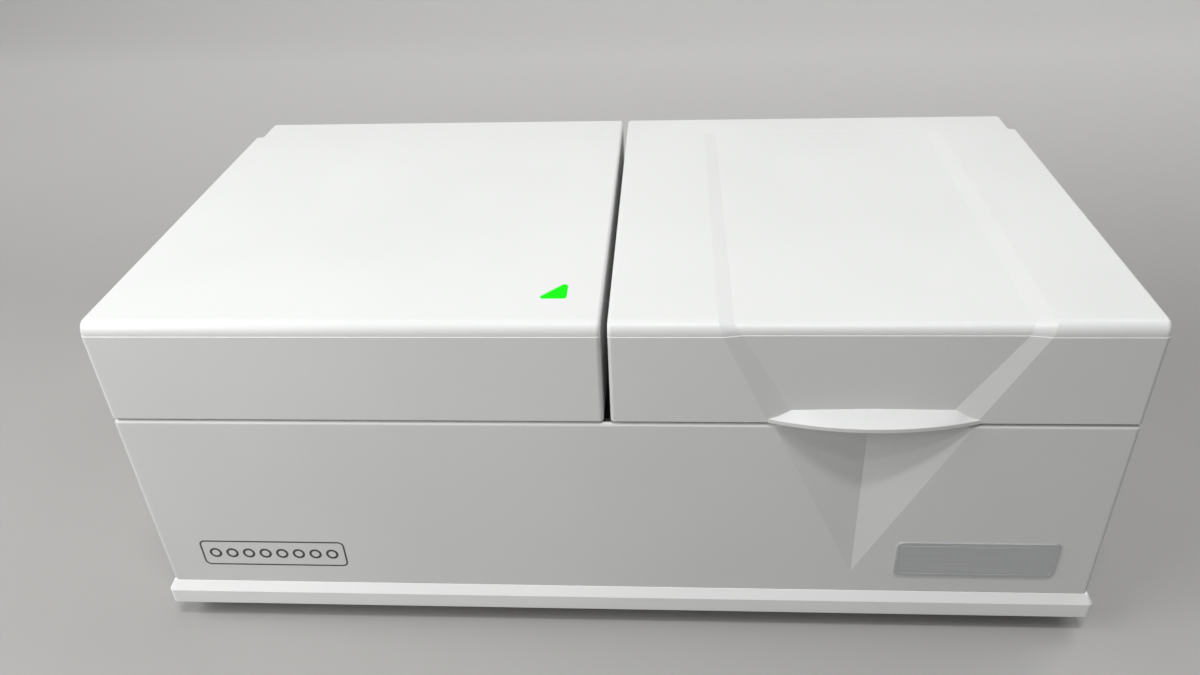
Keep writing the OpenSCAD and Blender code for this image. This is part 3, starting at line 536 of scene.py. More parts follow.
plate = Span("plate_lid")
service = Span("service_lid")
LID_BOTTOM = service.z0
LID_TOP = service.z1
DEPTH = service.y1
WALL = 2.5
NOSE_R = 4.1
LEDGE = 0.22
LEDGE_Z = LID_TOP - NOSE_R - 0.2
EDGE_R = 1.1
REAR_CUT = 2.5
NOTCH = 2.75
NOTCH_L = 15.3
SUNK = 1.0
SUNK_LOW = 1.7
FADE = 0.1
PANEL_REAR = DEPTH - 16.8

# The sunken panel's outer and inner lines, as (z, x) where they meet the bottom, the front and the top
BAND_LINES = [
    [(LID_BOTTOM, 49.8), (118.0, 34.4), (LID_TOP, 33.2)],
    [(LID_BOTTOM, 58.7), (118.0, 40.0), (LID_TOP, 38.0)],
    [(LID_BOTTOM, 104.5), (118.0, 125.2), (LID_TOP, 126.3)],
    [(LID_BOTTOM, 114.0), (118.0, 131.35), (LID_TOP, 132.6)],
]

# Height at which the handle's top leaves the lid's front face, as (x, z)
HANDLE_CREST = [(49.6, LID_BOTTOM + 1.4), (57.0, 89.1), (82.0, 89.7), (108.5, 89.4),
                (115.3, LID_BOTTOM + 1.4)]
LIP_T = 1.5

hinge = Span("hinge_shaft")
bushes = Span("plate_lid_bushes")
KNUCKLE_L = 12
KNUCKLE_R = 4.2
BORE_R = (bushes.z1 - bushes.z0) / 2
SHAFT_R = 2.05

# Corners of the indicator light, anticlockwise
WEDGE = [(-23.4, 15.8, 1.0), (-13.9, 15.8, 1.0), (-14.0, 26.3, 1.0)]


def follow(line, place):
    """Value at a place along a line of (place, value) pairs in rising order."""
    for (pa, va), (pb, vb) in zip(line, line[1:]):
        if place <= pb:
            return va + (vb - va) * (place - pa) / (pb - pa)
    return line[-1][1]


def sunk_at(z):
    """Depth of the sunken panel on the front face at height z; it grows towards the bottom."""
    return SUNK + (SUNK_LOW - SUNK) * max(LEDGE_Z - z, 0) / (LEDGE_Z - LID_BOTTOM)


def edge_in(r, below):
    """How far a round of radius r has come in, at a depth below the surface that it runs into."""
    return 0 if below >= r else r - sqrt(r * r - (r - below) ** 2)


def lid_levels():
    """(z, front inset, side inset, rear inset, depth share of the panel on the front and on the top)."""
    levels = []
    foot = 0.4
    for a in quarter(3):
        z = LID_BOTTOM + foot * (1 - cos(a))
        come = foot * (1 - sin(a))
        levels.append((z, come, come, max(come, REAR_CUT - (z - LID_BOTTOM)), 1, 0))
    levels.append((LID_BOTTOM + REAR_CUT, 0, 0, 0, 1, 0))
    levels.append((LEDGE_Z - 0.1, 0, 0, 0, 1, 0))
    levels.append((LEDGE_Z, 0.1, 0, 0, 1, 0))
    levels.append((LEDGE_Z + 0.02, LEDGE, 0, 0, 1, 0))
    for a in quarter(9):
        z = LID_TOP - NOSE_R * (1 - sin(a))
        side = edge_in(EDGE_R, LID_TOP - z)
        levels.append((z, LEDGE + NOSE_R * (1 - cos(a)), side, side, cos(a), sin(a)))
    return levels


def lid_corners(inner, side):
    """Corners of a lid's plan as if it were the right one; the left lid mirrors x."""
    inner = inner * side
    outer = plate.x1
    return [(inner, 0, 1.3), (outer, 0, 1.8), (outer, DEPTH - NOTCH_L, 0.8),
            (outer - NOTCH, DEPTH - NOTCH_L, 0.5), (outer - NOTCH, DEPTH, 1.6), (inner, DEPTH, 1.3)]


def lid_shape(inner, side, lines):
    """A lid's shell: outside skin, hollow inside, and the sunken panel between its lines if it has any."""
    shape = Shape()
    corners = lid_corners(inner, side)
    first = 9
    outside = []
    for z, front, sides, rear, on_front, on_top in lid_levels():
        ring = [(x, y, z) for x, y in inset(corners, sides, front, rear)]
        extra = []
        for i, line in enumerate(lines):
            sunk = sunk_at(z) if i in (1, 2) else 0
            extra.append((follow(line, z), front + sunk * on_front, z - sunk * on_top))
        outside.append(ring[:first] + extra + ring[first:])
    # From the bottom edge up to the ceiling
    inside = []
    for z, come in ((LID_BOTTOM, WALL - 0.3), (LID_BOTTOM + 0.3, WALL), (LID_TOP - WALL - 2, WALL),
                    (LID_TOP - WALL - 0.6, WALL + 0.5), (LID_TOP - WALL, WALL + 2)):
        rear = max(come, REAR_CUT + WALL - (z - LID_BOTTOM))
        ring = [(x, y, z) for x, y in inset(corners, come, come + 0.6 * bool(lines), rear)]
        extra = [(follow(line, z), ring[first - 1][1], z) for line in lines]
        inside.append(ring[:first] + extra + ring[first:])
    rings = inside[::-1] + outside
    shape.loft(rings, caps=False)
    count = len(rings[0])
    top = (len(rings) - 1) * count
    ring_top = list(range(top, top + count))
    shape.faces.append(list(range(count)))
    if lines:
        x0, x1, x2, x3 = (line[-1][1] for line in lines)
        back = shape.add([(x0, PANEL_REAR + 0.5, LID_TOP), (x1, PANEL_REAR, LID_TOP - FADE),
                          (x2, PANEL_REAR, LID_TOP - FADE), (x3, PANEL_REAR + 0.5, LID_TOP)], [])
        shape.faces.append(ring_top[first + 3:] + ring_top[:first + 1] + [back, back + 3])
        for k in range(3):
            shape.faces.append([top + first + k, top + first + k + 1, back + k + 1, back + k])
        shape.faces.append([back, back + 1, back + 2, back + 3])
        for k in range(4):
            run = [level * count + first + k for level in range(len(inside) + 1, len(rings))]
            shape.creases.append(run + [back + k])
        shape.creases += [[back, back + 1, back + 2, back + 3], [back, back + 3]]
    else:
        shape.faces.append(ring_top)
    # The left lid is the mirror image
    if side < 0:
        shape.points = [(-x, y, z) for x, y, z in shape.points]
        shape.faces = [face[::-1] for face in shape.faces]
    return shape


def handle_shape():
    """The pull lip under the plate lid: a lens seen from above that slopes out from the front face."""
    x0, x1 = HANDLE_CREST[0][0], HANDLE_CREST[-1][0]
    middle, half = (x0 + x1) / 2, (x1 - x0) / 2
    furthest = -plate.y0
    radius = (half * half + furthest * furthest) / (2 * furthest)
    low = LID_BOTTOM + 0.02
    tip = low + LIP_T
    back = SUNK_LOW - 0.1
    columns, slopes = 48, 5
    rings = []
    for k in range(columns + 1):
        x = middle - half * cos(pi * k / columns)
        out = max(sqrt(radius ** 2 - (x - middle) ** 2) - (radius - furthest), 0.05)
        crest = follow(HANDLE_CREST, x)
        ring = [(x, back + 0.6, low), (x, back + 0.6, crest)]
        for step in range(slopes):
            t = step / slopes
            ring.append((x, back - (out + back) * t, tip + (crest - tip) * (1 - t) ** 1.06))
        ring += [(x, 0.08 - out, tip), (x, -out, tip - 0.1), (x, -out, low + 0.1), (x, 0.1 - out, low)]
        rings.append(ring)
    lip = Shape()
    lip.loft(rings)
    return lip


def build_lid(name, body, inner, side, lines):
    thing = piece(name, lid_shape(inner, side, lines), "lid_plastic", [body], 14, body)
    added, bored = Shape(), Shape()
    x0, x1 = sorted((inner, side * (plate.x1 - NOTCH)))
    for a, b in ((x0, x0 + KNUCKLE_L), (x1 - KNUCKLE_L, x1)):
        added.lathe([(KNUCKLE_R - 0.3, a), (KNUCKLE_R, a + 0.3), (KNUCKLE_R, b - 0.3),
                     (KNUCKLE_R - 0.3, b)], (0, hinge.y, hinge.z), "x")
        added.block(a + 0.3, b - 0.3, hinge.y, DEPTH - 1, hinge.z + 1, hinge.z + KNUCKLE_R - 0.2)
        bored.lathe([(BORE_R, a - 1), (BORE_R, b + 1)], (0, hinge.y, hinge.z), "x")
    # Stiffening ribs under the top
    ceiling = LID_TOP - WALL
    low, high = ceiling - 2.2, ceiling + 0.4
    left, right = side * inner + WALL - 1, plate.x1 - NOTCH - WALL + 1
    for k in range(1, 5):
        x = side * (left + (right - left) * k / 5)
        added.block(x - 0.6, x + 0.6, WALL + 3, DEPTH - WALL - 4, low, high)
    for y in (42, 84, 126):
        a, b = sorted((side * (left + WALL + 1), side * (right - WALL - 1)))
        added.block(a, b, y - 0.6, y + 0.6, low, high)
    combine(thing, added, "UNION")
    if lines:
        combine(thing, handle_shape(), "UNION")
    else:
        window = Shape()
        window.layers(WEDGE, [(LID_TOP - 9, -0.12), (LID_TOP + 2, -0.12)])
        combine(thing, window, "DIFFERENCE")
    combine(thing, bored, "DIFFERENCE")
    finish_shell(thing, 26)


def build_indicator():
    lens = Span("indicator_lens")
    shape = Shape()
    shape.layers(WEDGE, [(lens.z0, 0), (lens.z1 - 0.3, 0), (lens.z1 - 0.08, 0.06), (lens.z1, 0.28)])
    piece("indicator_light", shape, "indicator_green", ["indicator_lens"], body="service_lid")


# ---- Case ----

housing = Span("lower_housing")
tray = Span("base_tray")
HOUSING_TOP = Span("light_seal").z0
FLARE = -tray.y0
BEVEL_LOW = 6.5
CORNER_R = 1.8
RIM_R = 1.4
feet = Span("feet")
FOOT_IN = 9.0
panel = Span("rear_panel")
PANEL_SCREW_X = 140
PANEL_SCREWS_Z = (panel.z0 + 10, panel.z1 - 9)
WINDOW_HALF = 146
# The finger scoop: its lowest point, and its corners at the housing's top as (x, y)
SCOOP = {"root": (81.7, 0, 19.4), "left": (51.4, 0), "right": (114.2, 0), "back": (82.3, 4.9)}


def cut_scoop(shape, root, left, right, back):
    """Adds the scoop's hollow: two flat facets that meet in a crease, drawn on past the front and the top."""
    root = Vector(root)
    deep, a, b = (root + 1.1 * (Vector((x, y, HOUSING_TOP)) - root) for x, y in (back, left, right))
    shape.add([deep] + [deep + 1.3 * (p - deep) for p in (root, a, b)],
              [[0, 1, 2], [0, 3, 1], [0, 2, 3], [1, 3, 2]])


def back_scoop(shape, root, left, right, back):
    """Adds the wall behind the scoop's facets."""
    top = HOUSING_TOP - 0.3
    front = 1.2
    shape.add([(root[0], front, root[2] - 7.5), (left[0] - 7, front, top), (right[0] + 7, front, top),
               (back[0], back[1] + 2.8, top)],
              [[0, 2, 1], [0, 1, 3], [0, 3, 2], [1, 2, 3]])


def lug_outline():
    """Side outline (y, z) of the ear that holds one end of the hinge shaft."""
    r = 9.5
    low = HOUSING_TOP - 6
    reach = housing.y1 - hinge.y
    start = asin(reach / r)
    outline = [(hinge.y - r, low), (housing.y1, low)]
    for k in range(25):
        a = start + (-pi / 2 - start) * k / 24
        outline.append((hinge.y + r * sin(a), hinge.z + r * cos(a)))
    return outline


def build_housing():
    outline = rectangle(housing.x0, housing.x1, housing.y0, housing.y1, CORNER_R)
    low = housing.z0
    levels = [(low, WALL), (HOUSING_TOP - 0.3, WALL), (HOUSING_TOP, WALL - 0.3)]
    for a in quarter(4):
        levels.append((HOUSING_TOP - RIM_R * (1 - cos(a)), RIM_R * (1 - sin(a))))
    levels += [(low + 0.35, 0), (low + 0.1, 0.1), (low, 0.35)]
    shape = Shape()
    shape.layers(outline, levels, closed=True)
    thing = piece("lower_case", shape, "case_plastic", ["lower_housing"], 20)
    added, cut = Shape(), Shape()
    for side in (-1, 1):
        added.loft([[(side * (housing.x1 - come), y, z) for y, z in lug_outline()] for come in (0, WALL)])
        cut.lathe([(SHAFT_R, side * (housing.x1 + 1)), (SHAFT_R, side * (housing.x1 - WALL - 1))],
                  (0, hinge.y, hinge.z), "x")
        # Screw bosses behind the rear panel
        x = side * PANEL_SCREW_X
        for z in PANEL_SCREWS_Z:
            added.block(x - 5, x + 5, panel.y0 - 10, housing.y1 - WALL + 0.5, z - 5, z + 5)
    back_scoop(added, **SCOOP)
    combine(thing, added, "UNION")
    cut_scoop(cut, **SCOOP)
    cut.block(-WINDOW_HALF, WINDOW_HALF, housing.y1 - WALL - 1, housing.y1 + 1, panel.z0 + 6, panel.z1 - 5)
    combine(thing, cut, "DIFFERENCE")
    finish_shell(thing, 20, on_scoop)


def on_scoop(p):
    """Whether a point in metres lies on the finger scoop's facets or their rim."""
    x, y, z = (p - at(0, 0, 0)) / MM
    return SCOOP["left"][0] < x < SCOOP["right"][0] and -0.1 < y < SCOOP["back"][1] + 0.5 and z > 19


def foot_places():
    return [(x, y) for x in (feet.x0 + FOOT_IN, feet.x1 - FOOT_IN)
            for y in (feet.y0 + FOOT_IN, feet.y1 - FOOT_IN)]


def build_tray():
    lip = FLARE + WALL + 0.3
    floor = WALL
    shape = Shape()
    shape.layers(rectangle(tray.x0, tray.x1, tray.y0, tray.y1, CORNER_R),
                 [(0, 0.5), (0.12, 0.2), (0.4, 0.03), (0.7, 0), (BEVEL_LOW - 0.15, 0), (BEVEL_LOW, 0.04),
                  (housing.z0 - 0.05, FLARE - 0.1), (housing.z0, FLARE), (housing.z0, lip),
                  (tray.z1 - 0.3, lip), (tray.z1, lip + 0.3), (tray.z1, lip + 1.7),
                  (tray.z1 - 0.3, lip + 2), (floor, lip + 2)])
    thing = piece("base_pan", shape, "tray_plastic", ["base_tray"], 24)
    added, cut = Shape(), Shape()
    # Air slots
    for k in range(8):
        cut.block(60 + 8 * k, 63 + 8 * k, 60, 100, -1, floor + 1)
    for x, y in foot_places():
        cut.lathe([(2.05, -1), (2.05, floor + 1)], (x, y, 0), steps=24)
    board = Span("main_board")
    for x in (board.x0 + 6, board.x1 - 6):
        for y in (board.y0 + 6, board.y1 - 6):
            added.lathe([(3.4, floor - 0.5), (3, board.z0)], (x, y, 0), steps=32)
    # Floor ribs either side of the board
    for x in (-150, 104, 150):
        added.block(x - 0.8, x + 0.8, 12, tray.y1 - 14, floor - 0.5, floor + 2.5)
    combine(thing, added, "UNION")
    combine(thing, cut, "DIFFERENCE")
    finish_shell(thing, 24)


def build_feet():
    shape = Shape()
    low, high = feet.z0, feet.z1
    for x, y in foot_places():
        shape.lathe([(6.9, low), (7.4, low + 0.25), (7.7, low + 0.9), (8.9, high - 0.4), (9.0, high),
                     (2.05, high), (2.05, low + 4), (4.5, low + 4), (4.6, low + 0.5), (5.0, low)],
                    (x, y, 0), caps=False)
    piece("rubber_feet", shape, "foot_rubber", ["feet"])


def screw(shape, centre, axis, toward, shank_r, shank_l, head_r, head_h):
    """Pan-head screw with a hexagon socket. toward is 1 if the head points up the axis and -1 if down."""

    def hexagon(a):
        return head_r * 0.42 / cos(a % (pi / 3) - pi / 6)

    profile = [(shank_r - 0.3, -shank_l), (shank_r, 0.3 - shank_l), (shank_r, 0), (head_r, 0),
               (head_r, head_h * 0.45), (head_r * 0.93, head_h * 0.8), (head_r * 0.75, head_h),
               (hexagon, head_h), (hexagon, head_h * 0.35)]
    shape.lathe([(r, h * toward) for r, h in profile], centre, axis)


def build_screws():
    shape = Shape()
    screws = Span("case_screws")
    for x, y in foot_places():
        screw(shape, (x, y, feet.z0 + 4), "z", -1, 2, 10, 4, 2.4)
        shape.lathe([(2, WALL), (3.5, WALL), (3.5, WALL + 2.6), (3.1, WALL + 3), (2, WALL + 3)],
                    (x, y, 0), steps=6, caps=False)
    for x in (-PANEL_SCREW_X, PANEL_SCREW_X):
        for z in PANEL_SCREWS_Z:
            screw(shape, (x, panel.y1, z), "y", 1, 1.5, 6, 3, screws.y1 - panel.y1)
    piece("screws", shape, "bright_steel", ["case_screws"], 30)


def build_badge():
    badge = Span("badge")
    y = badge.y0
    shape = Shape()
    shape.layers(rectangle(badge.x0, badge.x1, badge.z0, badge.z1, 2),
                 [(0.02, 0), (y + 0.2, 0), (y + 0.06, 0.07), (y, 0.3), (y, 1.1), (y + 0.12, 1.2),
                  (y + 0.12, 1.45), (y, 1.55)], "y")
    piece("name_plate", shape, "badge_silver", ["badge"], 30)


def build_print():
    """The printed mark at the left of the front: a row of wells in a plate outline."""
    x0, x1, z0, z1 = -150.5, -97.5, 18.2, 30.2
    line, stroke = 0.6, 0.85
    low, high = 0.01, -0.03
    wells, well_r = 8, 2.25
    shape = Shape()
    shape.layers(rectangle(x0, x1, z0, z1, 2.2), [(low, 0), (high, 0), (high, line), (low, line)], "y",
                 closed=True)
    pitch = (x1 - x0 - 4) / wells
    for k in range(wells):
        centre = (x0 + 2 + pitch * (k + 0.5), 0, (z0 + z1) / 2)
        shape.lathe([(well_r, low), (well_r, high), (well_r - stroke, high), (well_r - stroke, low)],
                    centre, "y", 40, caps=False)
    piece("printed_mark", shape, "printed_grey")


# ---- Rear panel fittings ----


def build_fan():
    fan = Span("fan_rotor")
    x, z = fan.x, fan.z
    hub_r, back, front = 7.5, 156.4, 165.0
    shape = Shape()
    shape.lathe([(1.55, back), (hub_r - 0.4, back), (hub_r, back + 0.4), (hub_r, front - 1.2),
                 (hub_r - 1.2, front), (5.6, front), (5.4, front - 0.2), (1.55, front - 0.2)],
                (x, 0, z), "y", caps=False)
    blades, reach, root = 7, 17.3, hub_r - 0.8
    section = ((-4.6, 0.25), (-2.3, -0.35), (0, -0.62), (2.3, -0.35), (4.6, 0.25),
               (2.3, 0.55), (0, 0.45), (-2.3, 0.7))
    for i in range(blades):
        rings = []
        for k in range(9):
            t = k / 8
            r = root + (reach - root) * t
            pitch = radians(52 - 20 * t)
            sweep = radians(360 * i / blades + 14 * t ** 2)
            ring = []
            for u, v in section:
                a = sweep + (u * cos(pitch) - v * sin(pitch)) / r
                y = 160.6 + (u * sin(pitch) + v * cos(pitch)) * 0.95
                ring.append((x + r * cos(a), y, z + r * sin(a)))
            rings.append(ring)
        shape.loft(rings)
    piece("fan_impeller", shape, "fan_plastic", ["fan_rotor"], 32, "fan_rotor")


def build_guard():
    guard, fan = Span("fan_guard"), Span("fan_frame")
    wire = (guard.y1 - guard.y0) / 2

    def spot(y, r, a):
        return fan.x + r * cos(a), y, fan.z + r * sin(a)

    shape = Shape()
    for r in (6, 12, 18):
        shape.tube([spot(guard.y1 - wire, r, 2 * pi * k / 64) for k in range(65)], wire, 10, False)
    for k in range(4):
        a = pi / 4 + k * pi / 2
        shape.tube([spot(guard.y0 + wire, r, a) for r in (5.5, 23)], wire * 0.85, 10)
    piece("finger_guard", shape, "bright_steel", ["fan_guard"], 60)


def build_socket():
    port = Span("usb_port")
    x, z = port.x, port.z
    wall, deep = 0.6, 158
    shape = Shape()
    shape.layers(rectangle(port.x0, port.x1, port.z0, port.z1, 1),
                 [(port.y0, 0), (port.y1 - 0.1, 0), (port.y1, 0.12), (port.y1, wall - 0.1),
                  (port.y1 - 0.2, wall), (deep, wall)], "y")
    piece("socket_shield", shape, "socket_shell", ["usb_port"], 30)
    tongue = Shape()
    tongue.layers(rectangle(x - 3, x + 3, z - 1.6, z + 1.6, 0.3), [(157.9, 0), (165.8, 0), (166, 0.2)], "y")
    piece("socket_tongue", tongue, "lamp_ceramic")
    contacts = Shape()
    for side in (-1, 1):
        for k in (-1, 1):
            cx, cz = x + k * 1.5, z + side * 1.66
            contacts.block(cx - 0.4, cx + 0.4, deep, 165, cz - 0.08, cz + 0.08)
    piece("socket_contacts", contacts, "pin_brass")


def build_fuses():
    drawer = Span("fuse_drawer")
    glass, caps = Shape(), Shape()
    for dx in (-4.3, 4.3):
        centre = (drawer.x + dx, 0, drawer.z - 0.2)
        glass.lathe([(2.3, 154.5), (2.3, 163.5)], centre, "y", 32)
        for y0, y1 in ((152.6, 155.4), (162.6, 165.4)):
            caps.lathe([(2.35, y0), (2.6, y0 + 0.3), (2.6, y1 - 0.3), (2.35, y1)], centre, "y", 32)
    piece("fuse_glass", glass, "lens_glass", body="fuse_drawer")
    piece("fuse_caps", caps, "bright_steel", body="fuse_drawer")


# ---- Plate drive ----

BELT = Span("drive_belt")
MOTOR_X, IDLER_X = Span("motor_pulley").x, Span("idler_pulley").x
PITCH_R = 5.2
TOOTH = 2.0
LAND_R = 4.58


def belt_loop(step):
    """Points and outward normals (x, z) round the belt's pitch line. Its second half is the first turned."""
    length = IDLER_X - MOTOR_X
    half = length + pi * PITCH_R
    count = round(2 * half / step)
    found = []
    for k in range(count):
        run = 2 * half * k / count
        back = run >= half
        run -= half * back
        a = pi / 2 - max(run - length, 0) / PITCH_R
        side, start = (-1, IDLER_X) if back else (1, MOTOR_X)
        normal = (side * cos(a), side * sin(a)) if run > length else (0, side)
        x = start + side * min(run, length) + PITCH_R * normal[0]
        found.append(((x, BELT.z + PITCH_R * normal[1]), normal))
    return found


def build_belt():
    shape = Shape()
    rings = []
    for k, ((x, z), (nx, nz)) in enumerate(belt_loop(TOOTH / 4)):
        tooth = 0.08 + (0, 0.42, 0.5, 0.42)[k % 4]
        ring = []
        for y, out in ((BELT.y0, -tooth), (BELT.y0, 0.62), (BELT.y0 + 0.08, 0.7), (BELT.y1 - 0.08, 0.7),
                       (BELT.y1, 0.62), (BELT.y1, -tooth)):
            ring.append((x + nx * out, y, z + nz * out))
        rings.append(ring)
    shape.loft(rings, closed=True)
    piece("toothed_belt", shape, "belt_rubber", ["drive_belt"], 35)


def build_pulley(name, node, x, bore):
    y0, y1 = BELT.y0 - 0.2, BELT.y1 + 0.2
    grooves = (0, 0, 0, 0.12, 0.55, 0.6, 0.55, 0.12)
    steps = 16 * len(grooves)
    rings = []
    for y, toothed in ((y0, True), (y1, True), (y1, False), (y0, False)):
        ring = []
        for k in range(steps):
            a = 2 * pi * k / steps
            r = LAND_R - grooves[k % 8] if toothed else bore
            ring.append((x + r * cos(a), y, BELT.z + r * sin(a)))
        rings.append(ring)
    shape = Shape()
    shape.loft(rings, closed=True)
    for a, b in ((y0 - 0.8, y0), (y1, y1 + 0.4)):
        shape.lathe([(bore, a), (5.8, a), (6.0, a + 0.15), (6.0, b - 0.15), (5.7, b), (bore, b)],
                    (x, 0, BELT.z), "y", 64, caps=False)
    piece(name, shape, "pulley_aluminium", [node], 30, node)


def build_motor():
    motor, shaft = Span("drive_motor"), Span("motor_shaft")
    half, chamfer, end = (motor.x1 - motor.x0) / 2, 3, 8
    x, z = motor.x, motor.z
    body_y = motor.y0 + 2

    def sections(levels):
        rings = []
        for y, come in levels:
            h, c = half - come, half - chamfer - come * 0.6
            rings.append([(x + u, y, z + w) for u, w in ((-c, -h), (c, -h), (h, -c), (h, c),
                                                         (c, h), (-c, h), (-h, c), (-h, -c))])
        return rings

    caps, stack, boss = Shape(), Shape(), Shape()
    for y0, y1 in ((body_y, body_y + end - 1), (motor.y1 - end, motor.y1)):
        caps.loft(sections([(y0, 0.4), (y0 + 0.4, 0), (y1 - 0.4, 0), (y1, 0.4)]))
    # Laminations
    levels = []
    y = body_y + 6.9
    while y < motor.y1 - end:
        levels += [(y, 0.55), (y + 0.1, 0.38), (y + 0.7, 0.38), (y + 0.8, 0.55)]
        y += 0.9
    stack.loft(sections(levels))
    bore = (shaft.x1 - shaft.x0) / 2 + 0.05
    boss.lathe([(bore, motor.y0), (10.7, motor.y0), (11, motor.y0 + 0.3), (11, body_y + 0.4),
                (bore, body_y + 0.4)], (x, 0, z), "y", 64, caps=False)
    for dx in (-9.9, 9.9):
        for dz in (-9.9, 9.9):
            screw(boss, (x + dx, motor.y1 - 0.02, z + dz), "y", 1, 1.2, 1, 2.4, 0.02)
    piece("motor_ends", caps, "anodised_black", limit=28)
    piece("motor_boss", boss, "lamp_aluminium", limit=28)
    piece("motor_stack", stack, "motor_paint", ["drive_motor"], 28)


def build_spring():
    pin = Span("clamp_pin")
    spring = Span("clamp_spring")
    x, y = pin.x, pin.y
    wire = 0.28
    r = (spring.x1 - spring.x0) / 2 - wire
    path = []
    turns, steps = 2.6, 28
    for k in range(int(turns * steps) + 1):
        a = 2 * pi * k / steps
        rise = (spring.z1 - spring.z0 - 2 * wire) * k / (turns * steps)
        path.append((x + r * cos(a), y + r * sin(a), spring.z0 + wire + rise))
    shape = Shape()
    shape.tube(path, wire, 10)
    piece("torsion_spring", shape, "bright_steel", ["clamp_spring"], 60, "plate_carrier")


# ---- Optics ----

BRIDGE = Span("optics_bridge")
BRIDGE_LOW = BRIDGE.z1 - 15
WELLS = [Span("guide_rods").y + (i - 3.5) * 9 for i in range(8)]
WHEEL = Span("filter_wheel")
FILTERS_R = 14.5
BEAM_Z = WHEEL.z + FILTERS_R


def build_lenses():
    base = BRIDGE_LOW + 0.2
    profile = [(max(3 * sin(a), 0.02), base - 1.45 * (cos(a) - 0.02)) for a in quarter(8)[:-1]]
    profile += [(3, base), (3, base + 2), (2.8, base + 2.2)]
    shape = Shape()
    for y in WELLS:
        shape.lathe(profile, (BRIDGE.x, y, 0), steps=40)
    piece("plate_lenses", shape, "lens_glass", ["lens_row"], 40)


def cubic(p, t):
    """Point on a cubic curve through four control points."""
    a, b, c, d = (Vector(q) for q in p)
    return (1 - t) ** 3 * a + 3 * t * (1 - t) ** 2 * b + 3 * t * t * (1 - t) * c + t ** 3 * d


def build_fibres():
    top = BRIDGE.z1
    start = Vector((-58, WHEEL.y, BEAM_Z))
    jackets, collars = Shape(), Shape()
    collars.lathe([(2.8, -71.4), (3.7, -71.4), (4.0, -71.0), (4.0, -66), (3.6, -65.8), (3.6, -65.2),
                   (4.0, -65), (4.0, -58.4), (3.6, -58), (0.5, -58)], (0, start.y, start.z), "x")
    for i, y in enumerate(WELLS):
        a = 2 * pi * i / 8
        begin = start + Vector((-0.5, 2.4 * cos(a), 2.4 * sin(a)))
        end = Vector((BRIDGE.x, y, top + 2))
        points = [begin, begin + Vector((22, 0, 0)), end + Vector((-6, 14 + i, 10)), end]
        jackets.tube([cubic(points, k / 40) for k in range(41)], 0.8, 12)
        collars.lathe([(1.99, top), (1.99, top + 1.2), (1.7, top + 1.35), (1.7, top + 1.6),
                       (1.99, top + 1.75), (1.99, top + 2.7), (1.3, top + 3.35), (0.85, top + 3.4)],
                      (BRIDGE.x, y, 0), steps=32)
    piece("fibre_jackets", jackets, "fibre_jacket", ["fibre_bundle"], 50)
    piece("fibre_ferrules", collars, "lamp_aluminium", limit=35)


def build_diodes():
    diodes = Span("photodiodes")
    low, top = diodes.z0, diodes.z1
    cans, windows = Shape(), Shape()
    for y in WELLS:
        cans.lathe([(1.5, low), (2.3, low), (2.3, low + 0.3), (2.1, low + 0.35), (2.1, top - 0.25),
                    (1.95, top), (1.3, top), (1.3, top - 0.3)], (BRIDGE.x, y, 0), steps=40)
        windows.lathe([(1.25, top - 0.3), (1.25, top - 0.08)], (BRIDGE.x, y, 0), steps=32)
    piece("diode_cans", cans, "diode_dark", ["photodiodes"], 30)
    piece("diode_windows", windows, "lens_glass")


def build_lamp():
    lamp = Span("lamp_bulb")
    x, y = lamp.x, lamp.y
    low, base, neck, top = lamp.z0, 80, 88, lamp.z1
    ceramic = Shape()
    ceramic.layers(rectangle(x - 8, x + 8, y - 8, y + 8, 2),
                   [(low, 0.3), (low + 0.3, 0), (base - 0.6, 0), (base, 0.6)])
    ceramic.lathe([(5.5, base - 0.2), (5.5, neck - 0.5), (5.0, neck), (4.55, neck), (4.55, neck - 1)],
                  (x, y, 0))
    glass = Shape()
    r = 4.5
    profile = [(r - 0.1, neck - 0.8), (r, neck + 1), (r, top - r)]
    profile += [(r * cos(a), top - r + r * sin(a)) for a in quarter(9)[1:-1]]
    outer = profile + [(0.3, top)]
    inner = [(0.25, top - 0.7)] + [(r - 0.6, h - 0.25) for r, h in profile[::-1] if r > 1]
    glass.lathe(outer + inner, (x, y, 0), caps=False)
    coil = [(x - 2.2 + 4.4 * k / 120, y + 0.55 * cos(k * 0.9), BEAM_Z + 0.55 * sin(k * 0.9))
            for k in range(121)]
    wires = Shape()
    wires.tube(coil, 0.11, 6)
    for side, end in ((-1, coil[0]), (1, coil[-1])):
        wires.tube([(x + side * 2.2, y, neck - 1), (x + side * 2.2, y, BEAM_Z - 1), end], 0.25, 8)
    piece("lamp_socket", ceramic, "lamp_ceramic", ["lamp_bulb"])
    piece("lamp_glass", glass, "lens_glass", limit=40)
    piece("lamp_filament", wires, "bright_steel", limit=50)


def build_condenser():
    lens = Span("condenser_lens")
    half, edge, bend = (lens.x1 - lens.x0) / 2, 5.4, 10
    profile = []
    for k in range(9):
        r = max(edge * k / 8, 0.02)
        profile.append((r, lens.x - half + bend - sqrt(bend ** 2 - r * r)))
    profile += [(r, 2 * lens.x - h) for r, h in profile[::-1]]
    shape = Shape()
    shape.lathe(profile, (0, lens.y, lens.z), "x", 56)
    piece("condenser_glass", shape, "lens_glass", ["condenser_lens"], 40)


